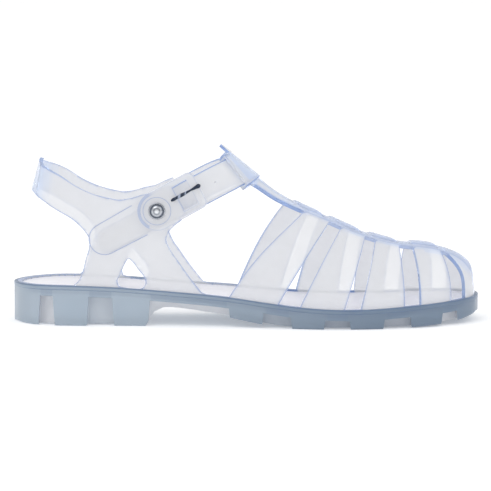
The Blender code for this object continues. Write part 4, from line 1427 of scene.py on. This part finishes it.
    def build(self, material: bpy.types.Material) -> bpy.types.Object:
        """Make the upper.

        Args:
            material: Finish.

        Returns:
            The piece.
        """
        bm = self.cage()
        bar, mesh = self.tbar(), bpy.data.meshes.new("tbar")
        bar.to_mesh(mesh)
        bar.free()
        bm.from_mesh(mesh)
        outer, holes = self.pattern()
        sheet(bm, outer, holes, self.pattern_step, self.form.quarter)
        bmesh.ops.remove_doubles(bm, verts=bm.verts, dist=0.05 * MM)
        edge = bm.verts.layers.float["edge"]
        for vert in bm.verts:
            if vert.is_boundary and vert[edge] == 0.0:
                vert[edge] = 1.0
        upper = put("upper_shell", bm)
        wall = upper.modifiers.new("Wall", "SOLIDIFY")
        wall.thickness = self.form.last.wall
        wall.offset = 0.0
        settle(upper, [], 0.0)
        body, slot = self.loop()
        tongue, strap = self.tongue(), self.strap()
        hole = self.pinhole()
        marks = Marks([upper, body, slot, tongue, strap, hole])
        boolean(upper, body, "UNION")
        boolean(upper, slot, "DIFFERENCE")
        boolean(upper, tongue, "UNION")
        boolean(upper, strap, "UNION")
        boolean(upper, hole, "DIFFERENCE")
        settle(upper, [body, slot, tongue, strap, hole], 0.0)
        marks.give(upper)
        paint(upper, "pale", self.tint)
        dress(upper, material, "upper")
        return upper


@dataclass
class Buckle:
    """Clear frame, chrome stud and steel prong on the outer quarter."""

    form: Form
    wall: float = 2.0 * MM
    radius: float = 10.4 * MM
    reach: float = 26.0 * MM
    window_start: float = 12.9 * MM
    window_length: float = 8.6 * MM
    window_width: float = 14.6 * MM
    border: float = 1.7 * MM
    corner: float = 3.4 * MM
    collar: float = 7.6 * MM
    collar_line: float = 0.45 * MM
    border_rise: float = 0.5 * MM
    stud: float = 4.6 * MM
    dome: float = 2.4 * MM
    shank: float = 1.6 * MM
    prong: float = 0.9 * MM
    prong_length: float = 17.9 * MM
    prong_back: float = 3.7 * MM
    prong_across: float = 1.2 * MM
    step: float = 2.0 * MM
    mark: float = 0.92
    # Strength of the prong's painted glints.
    glint: float = 0.7
    foot_rise: float = 0.6 * MM
    dome_inset: float = 0.9 * MM
    # Radius in mm and share of the stud's painted dark reflections and shade.
    reflection_rings: Rows = ((0.0, 0.0), (0.8, 0.1), (1.6, 0.75), (2.4, 0.35), (3.1, 0.9), (3.8, 0.8), (4.6, 0.3))
    prong_line: Rows = (
        # along, size
        (0.0, 0.35), (0.04, 0.8), (0.2, 0.85), (0.32, 1.1), (0.5, 0.85), (0.68, 0.6), (0.85, 1.05),
        (0.97, 1.0), (1.0, 0.3),
    )
    ridge_line: float = 0.45 * MM
    ridge_rise: float = 0.25 * MM
    tail_radius: float = 8.6 * MM
    tail_reach: float = 32.0 * MM
    tail_start: float = 10.6 * MM
    tail_flare: float = 1.06

    @property
    def level(self) -> float:
        """Distance of the frame's middle outside the quarter's middle."""
        return self.form.last.wall / 2 + self.form.last.gap + self.wall / 2

    def outline(self, inset: float) -> list[Point]:
        """The frame's outline, inset.

        Args:
            inset: Distance inside the outline.

        Returns:
            Outline points.
        """
        radius, reach = self.radius - inset, self.reach - inset
        arc = [(radius * math.cos(t), radius * math.sin(t)) for t in np.linspace(math.pi / 2, 1.5 * math.pi, 40)]
        turn = self.corner
        corners = [(reach - turn + turn * math.cos(t), side * (radius - turn) + turn * math.sin(t))
                   for side, first in ((-1, -math.pi / 2), (1, 0.0))
                   for t in np.linspace(first, first + math.pi / 2, 6)]
        return [*arc, (reach * 0.5, -radius), *corners, (reach * 0.5, radius)]

    def plate(self, name: str, outer: list[Point], holes: list[list[Point]], level: float,
              wall: float) -> bpy.types.Object:
        """Curved plate beside the quarter.

        Args:
            name: Object's name.
            outer: Outer loop in the buckle's own directions.
            holes: Loops of the holes.
            level: Distance of its middle outside the quarter's middle.
            wall: Thickness.

        Returns:
            The object.
        """
        bm = bmesh.new()
        edge = bm.verts.layers.float.new("edge")
        sheet(bm, outer, holes, self.step, lambda a, b: self.form.beside(a, b, level))
        for vert in bm.verts:
            vert[edge] = self.mark if vert.is_boundary else 0.0
        obj = put(name, bm)
        thick = obj.modifiers.new("Wall", "SOLIDIFY")
        thick.thickness, thick.offset = wall, 0.0
        return obj

    def build(self, clear: bpy.types.Material, chrome: bpy.types.Material,
              dark: bpy.types.Material) -> list[bpy.types.Object]:
        """Make the buckle's pieces.

        Args:
            clear: Clear plastic.
            chrome: Bright steel.
            dark: Dark steel.

        Returns:
            The pieces.
        """
        half, end = self.window_width / 2, self.window_start + self.window_length
        window = [(self.window_start, -half), (end, -half), (end, half), (self.window_start, half)]
        ring = circle(self.shank + self.form.last.gap, 24)
        frame_piece = self.plate("frame", self.outline(0.0), [window, ring], self.level, self.wall)
        border = self.plate("border", self.outline(0.0), [self.outline(self.border)],
                            self.level + self.border_rise / 2, self.wall + self.border_rise)
        collar = self.plate("collar", circle(self.collar, 40), [circle(self.collar - self.collar_line, 40)],
                            self.level + self.border_rise / 2, self.wall + self.border_rise)
        boolean(frame_piece, border, "UNION")
        boolean(frame_piece, collar, "UNION")
        settle(frame_piece, [border, collar], 0.0)
        dress(frame_piece, clear, "buckle_frame")
        rivet = self.rivet()
        dress(rivet, chrome, "buckle_stud")
        pin = self.pin()
        dress(pin, dark, "buckle_prong")
        return [frame_piece, rivet, pin, self.ridge(clear)]

    def ridge(self, clear: bpy.types.Material) -> bpy.types.Object:
        """Soft raised outline of the strap's end on the quarter, in the upper's plastic.

        Args:
            clear: Clear plastic.

        Returns:
            The ridge.
        """
        loops = []
        for inset in (0.0, self.ridge_line):
            radius = self.tail_radius - inset
            loops.append([(-self.tail_reach + radius * math.cos(t), radius * math.sin(t))
                          for t in np.linspace(math.pi / 2, 1.5 * math.pi, 28)])
            start, wide = inset - self.tail_start, radius * self.tail_flare
            loops[-1].extend([(start, -wide), (start, wide)])
        ring = self.plate("tail_ridge", loops[0], [loops[1]], self.form.last.wall / 2 + self.ridge_rise / 2,
                          self.ridge_rise)
        settle(ring, [], 0.0)
        dress(ring, clear, "upper")
        return ring

    def rivet(self) -> bpy.types.Object:
        """Domed stud on its shank.

        Returns:
            The rivet.
        """
        seat = self.level + self.wall / 2 + self.form.last.gap
        low, top = -self.form.last.wall / 2, seat + self.foot_rise
        profile = [(0.0, low), (self.shank, low), (self.shank, seat), (self.stud, seat),
                   (self.stud, top - 0.25 * MM), (self.stud - 0.25 * MM, top),
                   (self.stud - 0.7 * MM, top + 0.05 * MM)]
        for t in np.linspace(0.0, math.pi / 2, 14):
            profile.append(((self.stud - self.dome_inset) * math.cos(t), top + self.dome * math.sin(t)))
        origin = self.form.beside(0.0, 0.0, 0.0)
        bm = bmesh.new()
        verts = [bm.verts.new(origin + Vector((r, -h, 0.0))) for r, h in profile]
        edges = [bm.edges.new(pair) for pair in zip(verts, verts[1:])]
        bmesh.ops.spin(bm, geom=[*verts, *edges], cent=origin, axis=(0, 1, 0), angle=2 * math.pi, steps=64,
                       use_merge=True)
        bmesh.ops.remove_doubles(bm, verts=bm.verts, dist=0.001 * MM)
        obj = put("rivet", bm)
        settle(obj, [], 0.0)

        def painted_reflection(centre: Vector, normal: Vector) -> float:
            """Painted dark reflections and shade in rings round the dome and on its flank."""
            radius = math.hypot(centre.x - origin.x, centre.z - origin.z)
            return through(*zip(*self.reflection_rings), radius / MM)

        paint(obj, "painted_reflection", painted_reflection)
        return obj

    def pin(self) -> bpy.types.Object:
        """Steel prong across the frame's window.

        Returns:
            The prong.
        """
        level = self.level + self.wall / 2 + self.form.last.gap + self.prong
        start = self.window_start - self.prong_back
        across = (self.form.beside(0.0, 1.0 * MM, 0.0) - self.form.beside(0.0, 0.0, 0.0)).normalized()
        rows = []
        for part in np.linspace(0.0, 1.0, 40):
            size = self.prong * through(*zip(*self.prong_line), part)
            centre = self.form.beside(start + self.prong_length * part, self.prong_across, level)
            rows.append([centre + across * a + Vector((0, -b, 0)) for a, b in circle(size, 20)])
        obj = put("pin", net(rows, True))
        settle(obj, [], 0.0)
        rear, front = rows[0][0].x, rows[-1][0].x

        def glint(centre: Vector, normal: Vector) -> float:
            """Painted glints: bright spots on the rear half."""
            share = (centre.x - rear) / (front - rear)
            return self.glint * max(0.0, math.sin(27.0 * share)) if 0.24 < share < 0.52 else 0.0

        paint(obj, "painted_reflection", glint)
        return obj


@dataclass
class Studio:
    """Pale floor, soft light and the camera at the photograph's angle."""

    aim: tuple[float, float, float] = (-0.5 * MM, 0.0, 40.3 * MM)
    distance: float = 1.488
    elevation: float = math.radians(5.7)
    lens: float = 200.0
    sensor: float = 36.0
    floor_glow: float = 0.26
    world_light: float = 0.80
    key: tuple[float, ...] = (-0.5, -0.7, 1.2, 0.9, 3.5)
    fill: tuple[float, ...] = (0.9, -0.3, 0.8, 0.8, 1.5)

    def floor(self) -> None:
        """Pale floor with the faintest grain."""
        tree = Tree("floor_white")
        grain = tree.noise(300.0, 2.0)
        colour = tree.node("ShaderNodeMix", {"data_type": "RGBA"},
                           {0: grain, 6: (0.97, 0.97, 0.97, 1.0), 7: (0.95, 0.95, 0.96, 1.0)}, 2)
        tree.surface(tree.node("ShaderNodeBsdfPrincipled", {}, {
            "Base Color": colour, "Roughness": 0.9, "Specular IOR Level": 0.1,
            "Emission Color": colour, "Emission Strength": self.floor_glow}))
        bm = bmesh.new()
        bmesh.ops.create_grid(bm, x_segments=8, y_segments=8, size=30.0)
        bmesh.ops.translate(bm, verts=bm.verts, vec=(0.0, 0.0, -0.1 * MM))
        obj = put("floor", bm)
        obj.data.materials.append(tree.material)

    def light(self, name: str, place: tuple[float, float, float], size: float, power: float) -> None:
        """Square soft light that faces the shoe.

        Args:
            name: Name to give.
            place: Where it stands.
            size: Width of the panel.
            power: Watts.
        """
        data = bpy.data.lights.new(name, "AREA")
        data.shape, data.size, data.energy = "SQUARE", size, power
        obj = bpy.data.objects.new(name, data)
        obj.location = place
        obj.rotation_euler = (Vector(self.aim) - Vector(place)).to_track_quat("-Z", "Y").to_euler()
        bpy.context.scene.collection.objects.link(obj)

    def build(self) -> None:
        """Set up floor, lights, world and camera."""
        self.floor()
        for name, values in (("key", self.key), ("fill", self.fill)):
            self.light(name, values[:3], *values[3:])
        world = bpy.data.worlds.new("soft_white")
        world.use_nodes = True
        world.node_tree.nodes["Background"].inputs["Color"].default_value = (1.0, 1.0, 1.0, 1.0)
        world.node_tree.nodes["Background"].inputs["Strength"].default_value = self.world_light
        bpy.context.scene.world = world
        bpy.context.scene.view_settings.view_transform = "Standard"
        data = bpy.data.cameras.new("camera")
        data.lens, data.sensor_width = self.lens, self.sensor
        data.clip_start, data.clip_end = 0.05, 100.0
        camera = bpy.data.objects.new("camera", data)
        away = Vector((0.0, -math.cos(self.elevation), math.sin(self.elevation)))
        camera.location = Vector(self.aim) + away * self.distance
        camera.rotation_euler = (math.pi / 2 - self.elevation, 0.0, 0.0)
        bpy.context.scene.collection.objects.link(camera)
        bpy.context.scene.camera = camera


def main() -> None:
    """Build every piece, dress it and set up the studio."""
    logging.basicConfig(level=logging.INFO)
    last = Last()
    form = Form(last)
    sole = Sole(last)
    sole.build(SOLE_TINT.build())
    Footbed(sole).build(FOOTBED_MILK.build())
    clear = UPPER_CLEAR.build()
    Upper(form).build(clear)
    Buckle(form).build(clear, STUD_STEEL.build(), PRONG_STEEL.build())
    Studio().build()


if __name__ == "__main__":
    main()
